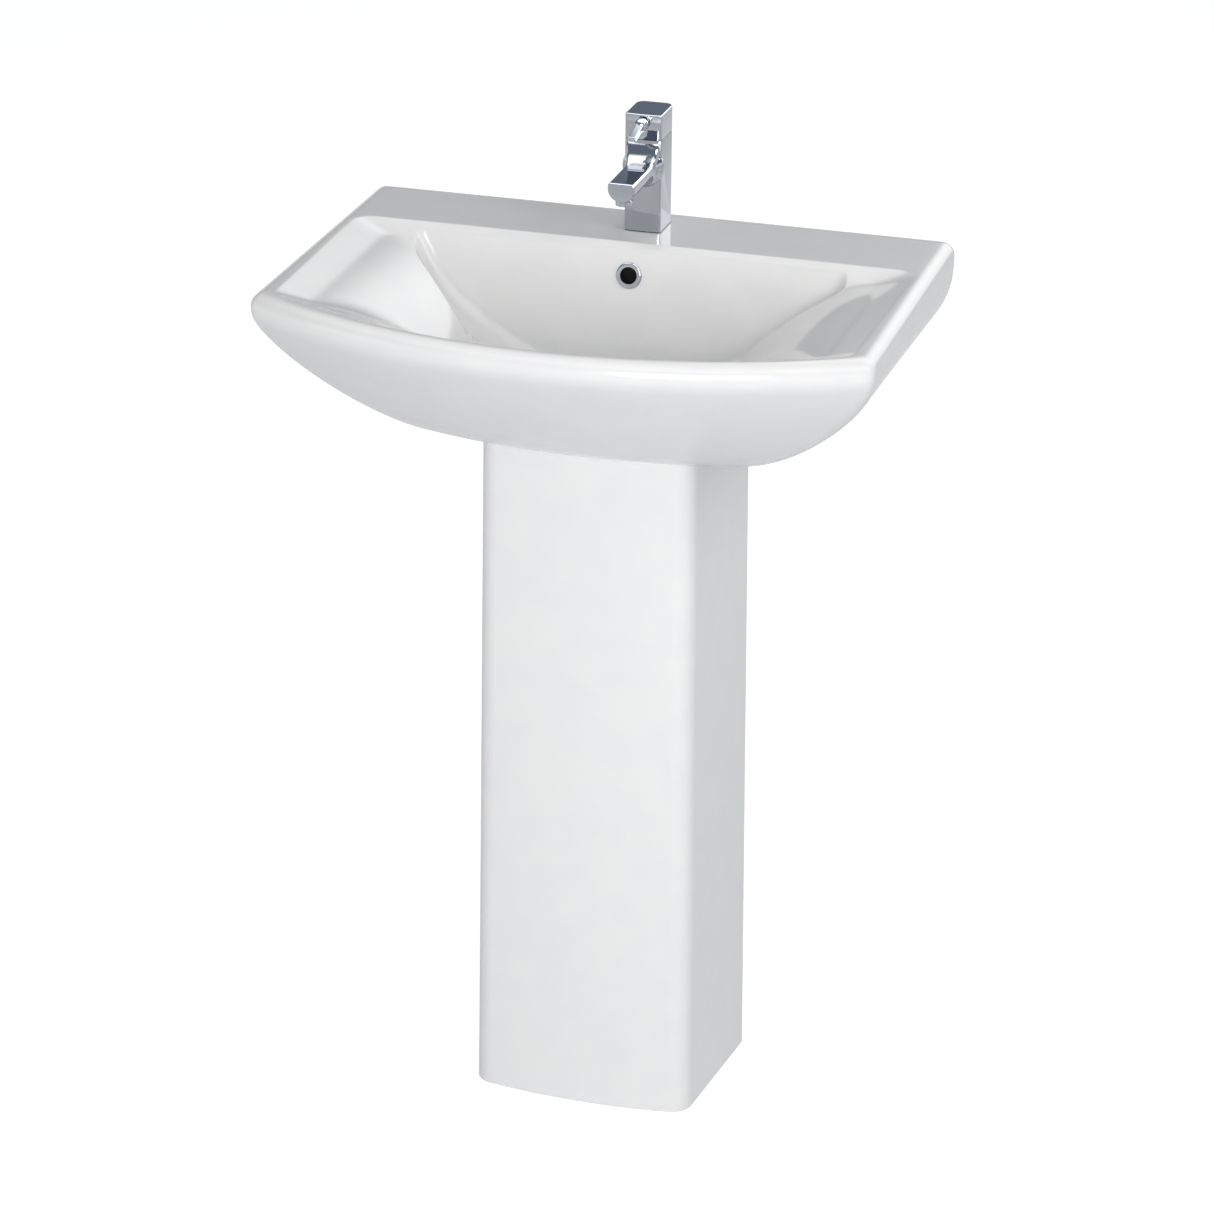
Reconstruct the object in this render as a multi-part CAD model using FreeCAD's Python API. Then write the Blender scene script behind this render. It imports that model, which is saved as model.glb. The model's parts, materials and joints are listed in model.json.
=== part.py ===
"""Pedestal sink: a vitreous china basin on a full pedestal, with a single-lever mixer tap,
a push-button waste and a bottle trap.

Millimetres, +Z up.  X = 0 is the middle of the sink, Y = +wall_y is the wall and the front
is towards -Y.  Z = 0 is the floor.  A piece's place from the wall is called its distance.
"""
import FreeCAD, Part
import math
import os
from FreeCAD import Vector

os.makedirs("parts", exist_ok=True)

# ---------------------------------------------------------------- driving dimensions
# Basin, seen from above
rim_height = 870.0            # floor to the top of the rim
basin_width = 600.0
basin_length = 440.0          # wall to the furthest point of the front
basin_bow = 80.0              # how far the front swells out past the straight sides
plan_corner_r = 13.0          # corners of the basin in plan
rim_band = 22.0               # upright band round the edge
rim_round = 10.0              # top outer edge of the band

# Basin, underside: the skirt draws in from the band to the basin's flat bottom
bowl_foot = 32.0              # bottom of the bowl to the bottom of the basin
skirt_back_draw = 141.0       # how far the sides draw in at the wall
skirt_front_draw = 120.0      # and at the front corners
skirt_side = 248.5            # distance of the front corners, at the bottom
skirt_bow = 27.0
skirt_corner_r = 42.0
skirt_steps = (0.0, 0.22, 0.44, 0.66, 0.84, 0.95, 1.0)
# rise and fall exponents of the skirt's swelling curve
back_swell = (2.13, 1.2)
front_swell = (1.44, 1.09)
length_swell = (1.02, 1.45)

# Basin, china thicknesses
skin = 10.0                   # skirt
bowl_wall = 9.0
deck_thick = 14.0
bottom_thick = 12.0
flange_thick = 12.0           # plate against the wall
duct_skin = 7.0

# Deck and sunk top: four facets fall from the flat rim to a valley round the bowl
lip_width = 17.0              # flat top of the rim at the sides and front
lip_taper = 6.0               # how much wider the rim is at the front corners
lip_back_r = 20.0
lip_front_r = 22.0
deck_line = 108.0             # distance of the deck's front edge at its ends
deck_line_bow = 1.0
tray_depth = 11.0
side_facet = 33.0
valley_taper = 2.0
valley_back = 121.0           # distance of the valley's back edge
valley_back_bow = 1.0
valley_side_inset = 25.0      # valley's front corners, behind the basin's
valley_bow_inset = 12.0       # how much flatter the valley's front is than the basin's
valley_back_r = 14.0
valley_front_r = 16.0
tray_rise = 4.0               # the facets are cut from this far above the rim
front_spread = 5.0            # how far the front facet runs on in that height

# Bowl
bowl_depth = 126.0
bowl_corner_r = 50.0
bowl_back_bow = 1.0
# Rows of shares: depth of the bowl, half widths of the valley at the back and the front,
# way from the valley to the waste from the back and from the front, the valley's bow,
# and the corner radius at the back and the front.
dish_shares = (
    (0.079, 1.004, 0.996, 0.0, 0.0, 1.0, 0.32, 0.6),
    (0.159, 0.828, 0.864, 0.115, 0.093, 1.074, 0.4, 1.0),
    (0.317, 0.66, 0.712, 0.253, 0.214, 1.103, 0.6, 1.2),
    (0.556, 0.512, 0.568, 0.391, 0.336, 1.0, 0.7, 1.2),
    (0.794, 0.4, 0.452, 0.506, 0.5, 0.853, 0.7, 1.0),
    (0.968, 0.264, 0.304, 0.667, 0.679, 0.588, 0.6, 0.7))
bowl_shares = (
    (0.012, 0.892, 0.852, -0.105, 1.393, 1.647, 0.18, 0.44),
    (0.317, 0.82, 0.784, 0.0, 1.321, 1.559, 0.26, 0.48),
    (0.635, 0.66, 0.624, 0.135, 1.207, 1.353, 0.4, 0.56),
    (0.873, 0.448, 0.416, 0.284, 1.107, 1.029, 0.44, 0.6),
    (1.0, 0.28, 0.256, 0.5, 1.0, 0.676, 0.48, 0.6))

# Tap hole, waste hole and wall fixing
tap_distance = 51.0
tap_hole_r = 17.5
waste_distance = 195.0
waste_hole_r = 23.0
waste_boss_r = 37.0
bolt_spacing = 280.0
bolt_hole_r = 7.0
bolt_drop = 78.0              # bolt holes below the rim
arch_half = 95.0              # service opening in the wall plate
arch_drop = 34.0
arch_r = 40.0
service_half = 80.0           # opening in the bottom, inside the pedestal
service_front = 236.0
rear_half = 138.0             # wider opening behind the pedestal
rear_front = 96.0

# Overflow, with its duct cast behind the bowl
overflow_depth = 30.5         # centre of the overflow below the rim
overflow_hole_r = 11.0
overflow_cut = 12.0           # how far its holes are cut out into the bowl
overflow_sink = 2.0           # depth of the ring's seat at its middle
duct_half = 24.0
duct_top = 20.0               # top of the duct below the rim
duct_toe = 18.0               # foot of the duct's slope, before the waste hole
duct_knee = 6.0
duct_cover = 2.0
channel_half = 15.0
channel_gap = 11.0
channel_top = 22.0
channel_lap = 4.0             # how far the channel runs into the waste hole

# Pedestal
pedestal_back = 109.5
pedestal_side = 268.8
pedestal_bow = 10.0
foot_front_half = 112.3
foot_back_half = 131.5
head_front_half = 104.8
head_back_half = 122.8
head_side = 262.0
pedestal_wall = 12.0
pedestal_front_r = 22.0
pedestal_back_r = 4.0
open_back = 20.0              # how far its hollow is cut out past the back edges
lug_length = 46.0
lug_width = 30.0
lug_thick = 12.0
lug_back = 122.0
lug_hole_inset = 2.0          # floor screw nearer the middle than the lug's centre
floor_screw_r = 4.5

# Overflow ring
ring_r = 13.0
ring_bore_r = 8.5
ring_thick = 2.6
ring_edge_r = 1.6
ring_stub = 9.0
ring_gap = 0.3

# Tap
column_width = 37.0
column_depth = 46.0
column_bow = 1.2
column_front_r = 2.0
column_back_r = 9.0
column_least_r = 0.5
body_height = 93.5            # deck to the seam under the head
head_height = 25.5
seam = 0.6
head_edge_r = 1.2
head_roof = 3.0               # thickness of the head's top
gasket_thick = 1.0
gasket_inset = 0.5
gasket_gap = 0.5              # gasket's hole inside the tap hole
spigot_depth = 6.0
spigot_gap = 0.7
chamber_r = 12.65
chamber_depth = 44.0          # floor of the cartridge's chamber below the seam
counterbore_r = 15.0
counterbore_depth = 12.0      # the cartridge's shoulder below the seam
counterbore_relief = 0.2
inlet_depth = 10.0            # sockets of the tails, above the deck
inlet_wall = 1.0              # step at the top of those sockets
stud_socket = 14.0
spout_reach = 74.0            # from the column's front to the tip
spout_width = 27.0
spout_drop = 22.0             # top of the spout below the seam
spout_height = 19.0
spout_upright = 0.28          # share of its height with upright sides
spout_corner_r = 3.0
spout_tip_r = 1.5
spout_bore_r = 5.0
flare_length = 16.0
flare_inset = 1.5             # flare's root inside the column's sides and seam
flare_sag = 7.0               # flare's root below the spout
# shares: place along the flare's length, and how much of the flare is left
flare_curve = ((-0.25, 1.0), (0.0, 0.9), (0.25, 0.45), (0.56, 0.16), (1.0, 0.0))

# Aerator
aerator_back = 11.0           # aerator's axis behind the tip
aerator_r = 8.25
aerator_drop = 5.0
aerator_seat = 0.3            # gap between the spout and the aerator's rim
aerator_edge_r = 0.8
aerator_socket = 9.0
aerator_height = 6.0          # part of the housing inside the spout
aerator_step = 1.0            # that part is this much smaller in radius
aerator_wall = 1.0
aerator_lip = 1.2             # height of the inner lip that carries the strainer
aerator_lip_width = 0.6
strainer_wall = 1.4
strainer_hole_r = 0.6
strainer_rings = ((1.6, 5), (3.4, 10))# radius and number of holes
aerator_washer_width = 3.0

# Cartridge
cartridge_r = 12.5
cartridge_edge = 1.5
cartridge_neck = 7.0          # neck above the shoulder
neck_wall = 2.4
seal_thick = 1.0
inlet_share = 0.8             # spacing of the inlets, share of the tails' spacing
inlet_r = 2.6
inlet_length = 9.0
inlet_seal_r = 4.6
inlet_seal_bore_r = 2.8
port_r = 4.0
cartridge_nut_flange = 4.0
cartridge_nut_flats = 25.0
cartridge_nut_height = 8.5
collar_r = 8.0
collar_depth = 11.0
collar_rise = 5.5             # collar's top above the pivot
fork_depth = 5.6              # slot in the collar, behind the pivot
fork_drop = 5.8               # and below it

# Lever and head
pivot_rise = 14.0             # lever pivot above the seam
pin_r = 1.5
pin_inset = 0.3
blade_width = 6.0
blade_thick = 4.2
blade_lap = 1.0
eye_r = 4.4
lever_width = 8.0
lever_thick = 5.4
lever_taper = 0.6             # how much thinner the tip is
lever_edge_r = 0.8
lever_reach = 39.0            # beyond the head's front
lever_drop = 5.5
lever_boss_r = 4.4
lever_boss_length = 3.2
lever_boss_rise = 3.0         # boss's centre above the pivot
lever_boss_edge_r = 1.6
lever_boss_gap = 3.2          # clears the head's front when the lever is up
lever_lift_deg = 14.0
slot_width = 7.2
slot_gap = 0.6                # room under and over the blade
head_bore_gap = 0.6
grip_wall = 3.4
grip_length = 7.0
grub_r = 2.0
grub_drop = 3.2               # grub screw below the collar's top
grub_gap = 0.02
grub_inset = 0.6
key_flats = 2.0
key_depth = 2.1

# Tap fixing and supply tails
stud_r = 4.0
stud_back = 8.5               # stud axis behind the tap's axis
stud_length = 72.0
stud_grip = 12.0              # part screwed into the tap
stud_edge = 0.8
stud_gap = 0.3
horseshoe_r = 22.0
horseshoe_back = 1.0
horseshoe_gap = 1.2           # between the plate and the tails
mouth_r = 6.0
rubber_thick = 3.0
plate_thick = 2.0
plate_inset = 0.5
nut_height = 8.0
nut_flats = 13.0
tail_r = 5.0
tail_wall = 0.8
tail_x = 8.5
tail_forward = 3.0
tail_top = 1.0                # start of the tails' pipe below the deck's top
tail_straight = 79.0
tail_bend_r = 40.0
tail_spread = 48.0
tail_setback = 128.0          # distance of the tails inside the pedestal
tail_level = 22.0             # end of the slanting run, below the basin
tail_end = 520.0              # height of their free ends
nose_shank = 6.0
nose_groove = 2.0             # width of the O-ring's groove
nose_groove_depth = 1.4
nose_relief = 0.3
nose_bore_r = 2.4
nose_seal_inset = 0.75
nose_seal_r = 0.6

# Waste and plug
flange_r = 31.5
flange_height = 3.0
flange_recess = 4.5
flange_gap = 1.0
flange_edge = 1.0
flange_bevel = 2.5
flange_lead = 5.0             # width and depth of the funnel in the flange
flange_lead_depth = 4.0
washer_top = 1.5
washer_inset = 1.5
washer_gap = 0.4
waste_tube_r = 20.8
waste_bore_r = 17.6
waste_length = 76.0
window_rise = 6.0             # windows above the basin's bottom
window_width = 11.0
window_height = 14.0
hub_drop = 8.0
hub_height = 8.0
hub_wall = 2.6
arm_width = 4.0
arm_height = 6.0
washer_bottom = 4.0
washer_bottom_r = 31.0
washer_bottom_cone = (2.0, 1.2)           # width and height of its bevel
slip_ring = 2.0
slip_ring_r = 30.0
backnut_height = 10.0
backnut_flats = 54.0
plug_r = 29.0
plug_thick = 4.0
plug_edge = (0.8, 0.9, 0.4, 1.8)          # in and up, then in and up again
plug_crown = (3.0, 0.9, 9.0, 0.2)         # in from the edge and down from the top
plug_spigot_r = 18.0
plug_spigot = 3.0
plug_groove_r = 16.6
plug_groove = 1.0
plug_seal_r = 20.6
plug_seal_gap = 0.15
plug_seal_inset = 0.1
stem_r = 4.93
stem_foot = 4.0               # gap under the stem with the plug down
clicker_r = 7.5
clicker_length = 16.0
clicker_edge = 1.5
clicker_floor = 3.0
clicker_flange = 2.2
clicker_flange_height = 2.5
clicker_top_drop = 4.0

# Bottle trap, 32 mm pipe
trap_neck_r = 17.0
trap_nut_r = 27.0
trap_nut_edge = 1.5
trap_nut_low = 9.0            # inlet nut below and above the waste's end
trap_nut_high = 15.0
trap_nut_lip = 1.6
trap_collar = 7.4
trap_washer = 4.0
trap_washer_gap = 0.5
trap_r = 36.5
trap_wall = 3.0
trap_shoulder = 8.0           # bevel of the housing's top
trap_neck_foot = 4.0
trap_roof = 4.0
trap_roof_bevel = 6.0
trap_screw = 14.0             # thread inside the bottle
trap_top_drop = 32.0          # top of the trap's housing below the waste's end
trap_housing = 62.0
trap_seal = 2.0
trap_seal_inset = 0.3
bottle_height = 88.0
bottle_grip = 2.5
bottle_grip_height = 14.0
bottle_grip_foot = 2.0
bottle_foot = 8.0
bottle_taper = 1.0
bottle_well = 18.0
bottle_well_r = 4.0
bottle_floor = 3.0
bottle_floor_slope = 6.0
outlet_drop = 26.0            # outlet's axis below the top of the housing
outlet_length = 24.0
outlet_lap = 4.0
pipe_r = 16.0
pipe_wall = 2.0
pipe_end_gap = 0.3
pipe_spigot_step = 0.2        # its end in the trap is turned down this much
pipe_shoulder = 1.5           # and the step stands off the nut
thread_r = 20.6
tube_seat_gap = 0.2
dip_tube_r = 14.0
dip_tube_wall = 2.0
dip_tube_end = 40.0
outlet_nut_back = 16.0
outlet_nut_front = 9.0
outlet_cone = (4.0, 6.0)
outlet_washer = (3.4, 4.8)
rib_r = 1.6
rib_out = 0.7                 # centre of a groove outside the nut
nut_ribs = 16
bottle_ribs = 20

# Fits
fit = 0.15                    # radial gap of fixed round fits
running = 0.05                # radial gap of turning and sliding fits
moving_gap = 0.35             # between pieces that move past each other
over = 1.0                    # how far a cut runs past a face
flat_bow = 0.5                # bow of an edge that looks straight

# ---------------------------------------------------------------- worked out
wall_y = basin_length / 2.0
basin_side = basin_length - basin_bow
basin_height = bowl_depth + bowl_foot
bottom_z = rim_height - basin_height
bowl_z = rim_height - bowl_depth
tap_y = wall_y - tap_distance
waste_y = wall_y - waste_distance
tray_half = basin_width / 2.0 - lip_width - side_facet
valley_side = basin_side - valley_side_inset
valley_bow = basin_bow - valley_bow_inset
seam_z = rim_height + body_height
shoulder_z = seam_z - counterbore_depth
chamber_z = seam_z - chamber_depth
pivot_z = seam_z + pivot_rise
spout_top_z = seam_z - spout_drop
spout_low_z = spout_top_z - spout_height
column_front = tap_distance + column_depth / 2.0
spout_tip = column_front + spout_reach


# ---------------------------------------------------------------- helpers
def from_wall(x, distance, z):
    """A point given by its distance from the wall."""
    return Vector(x, wall_y - distance, z)


def polygon_face(points):
    """A flat face through points."""
    return Part.Face(Part.makePolygon(list(points) + [points[0]]))


def turned(profile, centre_x=0.0, centre_y=0.0):
    """Revolve a closed (radius, height) profile about an upright axis."""
    face = polygon_face([Vector(centre_x + radius, centre_y, z) for radius, z in profile])
    return face.revolve(Vector(centre_x, centre_y, 0), Vector(0, 0, 1), 360)


def upright(radius, low, high, x=0.0, y=0.0):
    """A solid cylinder standing between two heights."""
    return Part.makeCylinder(radius, high - low, Vector(x, y, low))


def tube(outer, inner, low, high, x=0.0, y=0.0):
    """A hollow cylinder standing between two heights."""
    return upright(outer, low, high, x, y).cut(upright(inner, low - over, high + over, x, y))


def rod(radius, start, end):
    """A cylinder between two points."""
    return Part.makeCylinder(radius, (end - start).Length, start, end - start)


def block(x0, x1, distance0, distance1, z0, z1):
    """A box given by its distances from the wall."""
    return Part.makeBox(x1 - x0, distance1 - distance0, z1 - z0, from_wall(x0, distance1, z0))


def arc(start, middle, end):
    return Part.Arc(start, middle, end).toShape()


def line(start, end):
    return Part.LineSegment(start, end).toShape()


def hexagon_corners(flats):
    """Corners of a hexagon about the origin, as (across, up) pairs."""
    across = flats / math.sqrt(3)
    turns = [math.radians(60 * i) for i in range(6)]
    return [(across * math.cos(a), across * math.sin(a)) for a in turns]


def hexagon(flats, low, high, x=0.0, y=0.0):
    """A hexagonal prism with its corners turned off at both ends."""
    prism = polygon_face([Vector(x + dx, y + dy, low) for dx, dy in hexagon_corners(flats)])
    prism = prism.extrude(Vector(0, 0, high - low))
    inner = flats / 2.0
    bevel = flats / math.sqrt(3) - inner
    cone = turned([(0, low), (inner, low), (inner + bevel, low + bevel), (inner + bevel, high - bevel),
                   (inner, high), (0, high)], x, y)
    return prism.common(cone)


def level_edges(shape, z):
    """The edges of a shape that lie flat at a height."""
    return [e for e in shape.Edges
            if abs(e.BoundBox.ZMin - z) < 1e-4 and abs(e.BoundBox.ZMax - z) < 1e-4]


def facing_edges(shape, y):
    """The edges of a shape that lie in an upright plane across it."""
    return [e for e in shape.Edges
            if abs(e.BoundBox.YMin - y) < 1e-4 and abs(e.BoundBox.YMax - y) < 1e-4]


def corner(far, near, bow, radius):
    """Round the corner where a straight side (far to near) meets a bowed end.

    Points are (half width, distance).  Returns the arc's point on the side, its middle and
    its point on the bow.
    """
    outward = 1 if near[1] > far[1] else -1
    big = (near[0] ** 2 + bow ** 2) / (2 * bow)
    middle = near[1] + outward * (bow - big)
    length = math.hypot(near[0] - far[0], near[1] - far[1])
    along = ((near[0] - far[0]) / length, (near[1] - far[1]) / length)
    normal = (-along[1], along[0]) if along[1] > 0 else (along[1], -along[0])
    px = far[0] + normal[0] * radius
    pd = far[1] + normal[1] * radius - middle
    half = px * along[0] + pd * along[1]
    reach = -half + math.sqrt(half * half - (px * px + pd * pd - (big - radius) ** 2))
    cx = px + along[0] * reach
    cd = pd + along[1] * reach
    out = (cx / math.hypot(cx, cd), cd / math.hypot(cx, cd))
    split = (out[0] - normal[0], out[1] - normal[1])
    scale = radius / math.hypot(*split)
    cd += middle
    return ((cx - normal[0] * radius, cd - normal[1] * radius),
            (cx + split[0] * scale, cd + split[1] * scale),
            (cx + out[0] * radius, cd + out[1] * radius))


def outline(z, back_half, front_half, back, side, bow, back_r, front_r, back_bow):
    """A level outline: bowed back, straight sides, bowed front, four rounded corners."""
    front = corner((back_half, back), (front_half, side), bow, front_r)
    rear = corner((front_half, side), (back_half, back), back_bow, back_r)

    def point(p, hand=1):
        return from_wall(hand * p[0], p[1], z)

    return Part.Wire([
        arc(point(rear[2], -1), point((0, back - back_bow)), point(rear[2])),
        arc(point(rear[2]), point(rear[1]), point(rear[0])),
        line(point(rear[0]), point(front[0])),
        arc(point(front[0]), point(front[1]), point(front[2])),
        arc(point(front[2]), point((0, side + bow)), point(front[2], -1)),
        arc(point(front[2], -1), point(front[1], -1), point(front[0], -1)),
        line(point(front[0], -1), point(rear[0], -1)),
        arc(point(rear[0], -1), point(rear[1], -1), point(rear[2], -1))])


def loft(wires, ruled=False):
    return Part.makeLoft(wires, True, ruled)


# ---------------------------------------------------------------- basin
def skirt_outline(step, inset=0.0):
    """The skirt's outline at a step between the band (0) and the bottom (1)."""
    def drawn(draw, curve):
        rise, fall = curve
        return draw * (1 - (1 - step ** rise) ** (1 / fall))
    half = basin_width / 2.0 - inset
    corner_r = plan_corner_r + (skirt_corner_r - plan_corner_r) * step
    shrink = min(inset, plan_corner_r / 2.0)
    return outline(rim_height - rim_band - (basin_height - rim_band) * step,
                   half - drawn(skirt_back_draw, back_swell),
                   half - drawn(skirt_front_draw, front_swell),
                   0.0,
                   basin_side - drawn(basin_side - skirt_side, length_swell) - inset,
                   basin_bow - drawn(basin_bow - skirt_bow, length_swell),
                   plan_corner_r - shrink, corner_r - shrink, flat_bow)


def band_prism(inset, z, height):
    """A prism with the basin's plan outline."""
    half = basin_width / 2.0 - inset
    shrink = min(inset, plan_corner_r / 2.0)
    wire = outline(z, half, half, 0.0, basin_side - inset, basin_bow,
                   plan_corner_r - shrink, plan_corner_r - shrink, flat_bow)
    return Part.Face(wire).extrude(Vector(0, 0, height))


def basin_outside():
    band = band_prism(0.0, rim_height - rim_band, rim_band)
    band = band.makeFillet(rim_round, level_edges(band, rim_height))
    return band.fuse(loft([skirt_outline(step) for step in skirt_steps]))


def tray_cutter(lower=0.0):
    """The sunk top: four facets that fall from the rim to the valley round the bowl."""
    spread = side_facet / tray_depth * tray_rise
    back_spread = (valley_back - deck_line) / tray_depth * tray_rise
    lip_bow = basin_bow - lip_width / 2.0
    lip_side = basin_length - lip_width - lip_bow
    half = basin_width / 2.0 - lip_width
    top = outline(rim_height + tray_rise - lower, half + spread, half - lip_taper + spread,
                  deck_line - back_spread, lip_side + front_spread, lip_bow, lip_back_r, lip_front_r,
                  deck_line_bow)
    low = outline(rim_height - tray_depth - lower, tray_half, tray_half - valley_taper, valley_back,
                  valley_side, valley_bow, valley_back_r, valley_front_r, valley_back_bow)
    return loft([top, low], ruled=True)


def sections(shares):
    """Depth, half widths, distances, bow and corner radii of a hollow's outlines."""
    return [(bowl_depth * depth, tray_half * back_half, tray_half * front_half,
             valley_back + (waste_distance - valley_back) * back,
             valley_side + (waste_distance - valley_side) * side,
             valley_bow * bow, bowl_corner_r * back_r, bowl_corner_r * front_r)
            for depth, back_half, front_half, back, side, bow, back_r, front_r in shares]


dish_sections = sections(dish_shares)
bowl_sections = sections(bowl_shares)


def hollow(rows, wall=0.0):
    """A lofted hollow; wall gives the outside of its china."""
    wires = [outline(rim_height - depth - wall, back_half + wall, front_half + wall, back - wall,
                     side + wall, bow, back_r + wall, front_r + wall, bowl_back_bow)
             for depth, back_half, front_half, back, side, bow, back_r, front_r in rows]
    if not wall:
        return loft(wires)
    return loft(wires).fuse(Part.Face(wires[0]).extrude(Vector(0, 0, wall)))


def bowl_back(depth):
    """Distance of the bowl's back wall at a depth below the rim."""
    for upper, lower in zip(bowl_sections, bowl_sections[1:]):
        if depth <= lower[0]:
            share = (depth - upper[0]) / (lower[0] - upper[0])
            return upper[3] + share * (lower[3] - upper[3])
    return bowl_sections[-1][3]


def duct_polygon(front, back, top, foot, lip, half):
    """The side profile of the overflow duct or its channel, as a prism."""
    depths = [top] + [row[0] for row in bowl_sections[1:-1]]
    knee = bowl_back(depths[-1]) + duct_knee
    points = [(bowl_back(depth) - front, depth) for depth in depths]
    points += [(waste_distance - waste_hole_r - duct_toe, foot), (waste_distance - lip, foot)]
    points += [(waste_distance - lip, foot + back - front), (knee, foot + back - front)]
    points += [(bowl_back(depth) - back, depth) for depth in reversed(depths)]
    face = polygon_face([from_wall(-half, distance, rim_height - depth) for distance, depth in points])
    return face.extrude(Vector(2 * half, 0, 0))


def overflow_axis():
    """Centre of the overflow's seat on the bowl's back wall and the direction out of it."""
    upper, lower = bowl_sections[0], bowl_sections[1]
    slope = math.atan((lower[3] - upper[3]) / (lower[0] - upper[0]))
    centre = from_wall(0, bowl_back(overflow_depth) - overflow_sink, rim_height - overflow_depth)
    outward = Vector(0, -math.cos(slope), math.sin(slope))
    return centre, outward


def basin_void():
    """The hollow between skirt and bowl, open to the wall and below."""
    void = loft([skirt_outline(step, skin) for step in skirt_steps])
    void = void.fuse(band_prism(skin, rim_height - rim_band, rim_band - deck_thick))
    return void.common(block(-basin_width, basin_width, flange_thick, basin_length,
                             bottom_z + bottom_thick, rim_height))


def bowl_china():
    """The china round the bowl, the waste and the overflow's duct."""
    china = hollow(dish_sections, bowl_wall).fuse(hollow(bowl_sections, bowl_wall))
    china = china.fuse(tray_cutter(bowl_wall)).fuse(upright(waste_boss_r, bottom_z, bowl_z, 0, waste_y))
    return china.fuse(duct_polygon(0.0, bowl_wall + channel_gap + duct_skin, duct_top,
                                   bowl_depth + bowl_wall - duct_cover, waste_hole_r, duct_half))


def make_basin():
    cavity = tray_cutter().fuse(hollow(dish_sections)).fuse(hollow(bowl_sections))
    kept = bowl_china()
    body = basin_outside().cut(cavity)
    body = body.cut(basin_void().cut(kept))

    # openings in the bottom and in the plate against the wall
    low, high = bottom_z - over, bottom_z + bottom_thick
    service = block(-service_half, service_half, flange_thick, service_front, low, high)
    service = service.fuse(block(-rear_half, rear_half, flange_thick, rear_front, low, high))
    body = body.cut(service.cut(kept))
    arch_top = rim_height - arch_drop
    arch = block(-arch_half, arch_half, -over, flange_thick + over, low, arch_top)
    shoulders = [e for e in level_edges(arch, arch_top) if e.BoundBox.YLength > flange_thick]
    body = body.cut(arch.makeFillet(arch_r, shoulders))
    for x in (-bolt_spacing / 2.0, bolt_spacing / 2.0):
        body = body.cut(rod(bolt_hole_r, from_wall(x, flange_thick + over, rim_height - bolt_drop),
                            from_wall(x, -over, rim_height - bolt_drop)))

    # tap hole, waste hole with its seat, overflow hole and channel
    body = body.cut(upright(tap_hole_r, rim_height - deck_thick - over, rim_height + over, 0, tap_y))
    body = body.cut(upright(waste_hole_r, low, bowl_z + over, 0, waste_y))
    body = body.cut(upright(flange_r + flange_gap, bowl_z - flange_recess, bowl_z + flange_recess,
                            0, waste_y))
    body = body.cut(duct_polygon(bowl_wall, bowl_wall + channel_gap, channel_top,
                                 bowl_depth + bowl_wall, waste_hole_r - channel_lap, channel_half))
    centre, outward = overflow_axis()
    into_bowl = centre + outward * overflow_cut
    body = body.cut(rod(overflow_hole_r, centre - outward * (bowl_wall + channel_lap), into_bowl))
    body = body.cut(rod(ring_r + ring_gap, centre, into_bowl))

    # ground flat against the wall
    return body.cut(block(-basin_width, basin_width, -flange_thick, 0.0, low, rim_height + over))


# ---------------------------------------------------------------- pedestal
def pedestal_outline(z, share, inset=0.0, past_back=0.0):
    """The pedestal's outline, share 0 at the floor and 1 at its top."""
    front_half = foot_front_half + (head_front_half - foot_front_half) * share - inset
    back_half = foot_back_half + (head_back_half - foot_back_half) * share - inset
    side = pedestal_side + (head_side - pedestal_side) * share - inset
    flare = (back_half - front_half) / (side - pedestal_back)
    return outline(z, back_half + flare * past_back, front_half, pedestal_back - past_back, side,
                   pedestal_bow, pedestal_back_r, pedestal_front_r - inset, flat_bow)


def pedestal_prism(inset=0.0, past_back=0.0):
    return loft([pedestal_outline(0, 0, inset, past_back),
                 pedestal_outline(bottom_z, 1, inset, past_back)], ruled=True)


def make_pedestal():
    outer = pedestal_prism()
    body = outer.cut(pedestal_prism(pedestal_wall, open_back))
    for hand in (-1, 1):
        wall_x = foot_back_half - pedestal_wall / 2.0
        x0, x1 = sorted((hand * (wall_x - pedestal_wall / 2.0 - lug_width), hand * wall_x))
        lug = block(x0, x1, lug_back, lug_back + lug_length, 0, lug_thick)
        body = body.fuse(lug.common(outer))
        screw_x = hand * (foot_back_half - pedestal_wall - lug_width / 2.0 - lug_hole_inset)
        body = body.cut(upright(floor_screw_r, -over, lug_thick + over, screw_x,
                                wall_y - lug_back - lug_length / 2.0))
    return body


# ---------------------------------------------------------------- overflow ring
def make_overflow_ring():
    centre, outward = overflow_axis()
    face = centre + outward * ring_thick
    ring = rod(ring_r, centre, face)
    ring = ring.makeFillet(ring_edge_r, [e for e in ring.Edges if (e.CenterOfMass - face).Length < 1e-3])
    ring = ring.fuse(rod(overflow_hole_r - fit, centre - outward * ring_stub, centre))
    return ring.cut(rod(ring_bore_r, centre - outward * (ring_stub + over), face + outward * over))


# ---------------------------------------------------------------- tap
def column_outline(z, inset=0.0):
    """The tap's plan outline."""
    half = column_width / 2.0 - inset
    return outline(z, half, half, tap_distance - column_depth / 2.0 + inset,
                   column_front - column_bow - inset, column_bow, column_back_r - inset,
                   max(column_front_r - inset, column_least_r), flat_bow)


def spout_section(distance, half, top, low, radius):
    """A D-shaped section across the spout: flat top, upright sides and a round underside."""
    shoulder = top - (top - low) * spout_upright

    def point(x, z):
        return from_wall(x, distance, z)
    bend = radius * (1 - math.sqrt(0.5))
    return Part.Wire([
        line(point(-half + radius, top), point(half - radius, top)),
        arc(point(half - radius, top), point(half - bend, top - bend), point(half, top - radius)),
        line(point(half, top - radius), point(half, shoulder)),
        arc(point(half, shoulder), point(0, low), point(-half, shoulder)),
        line(point(-half, shoulder), point(-half, top - radius)),
        arc(point(-half, top - radius), point(-half + bend, top - bend), point(-half + radius, top))])


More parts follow.
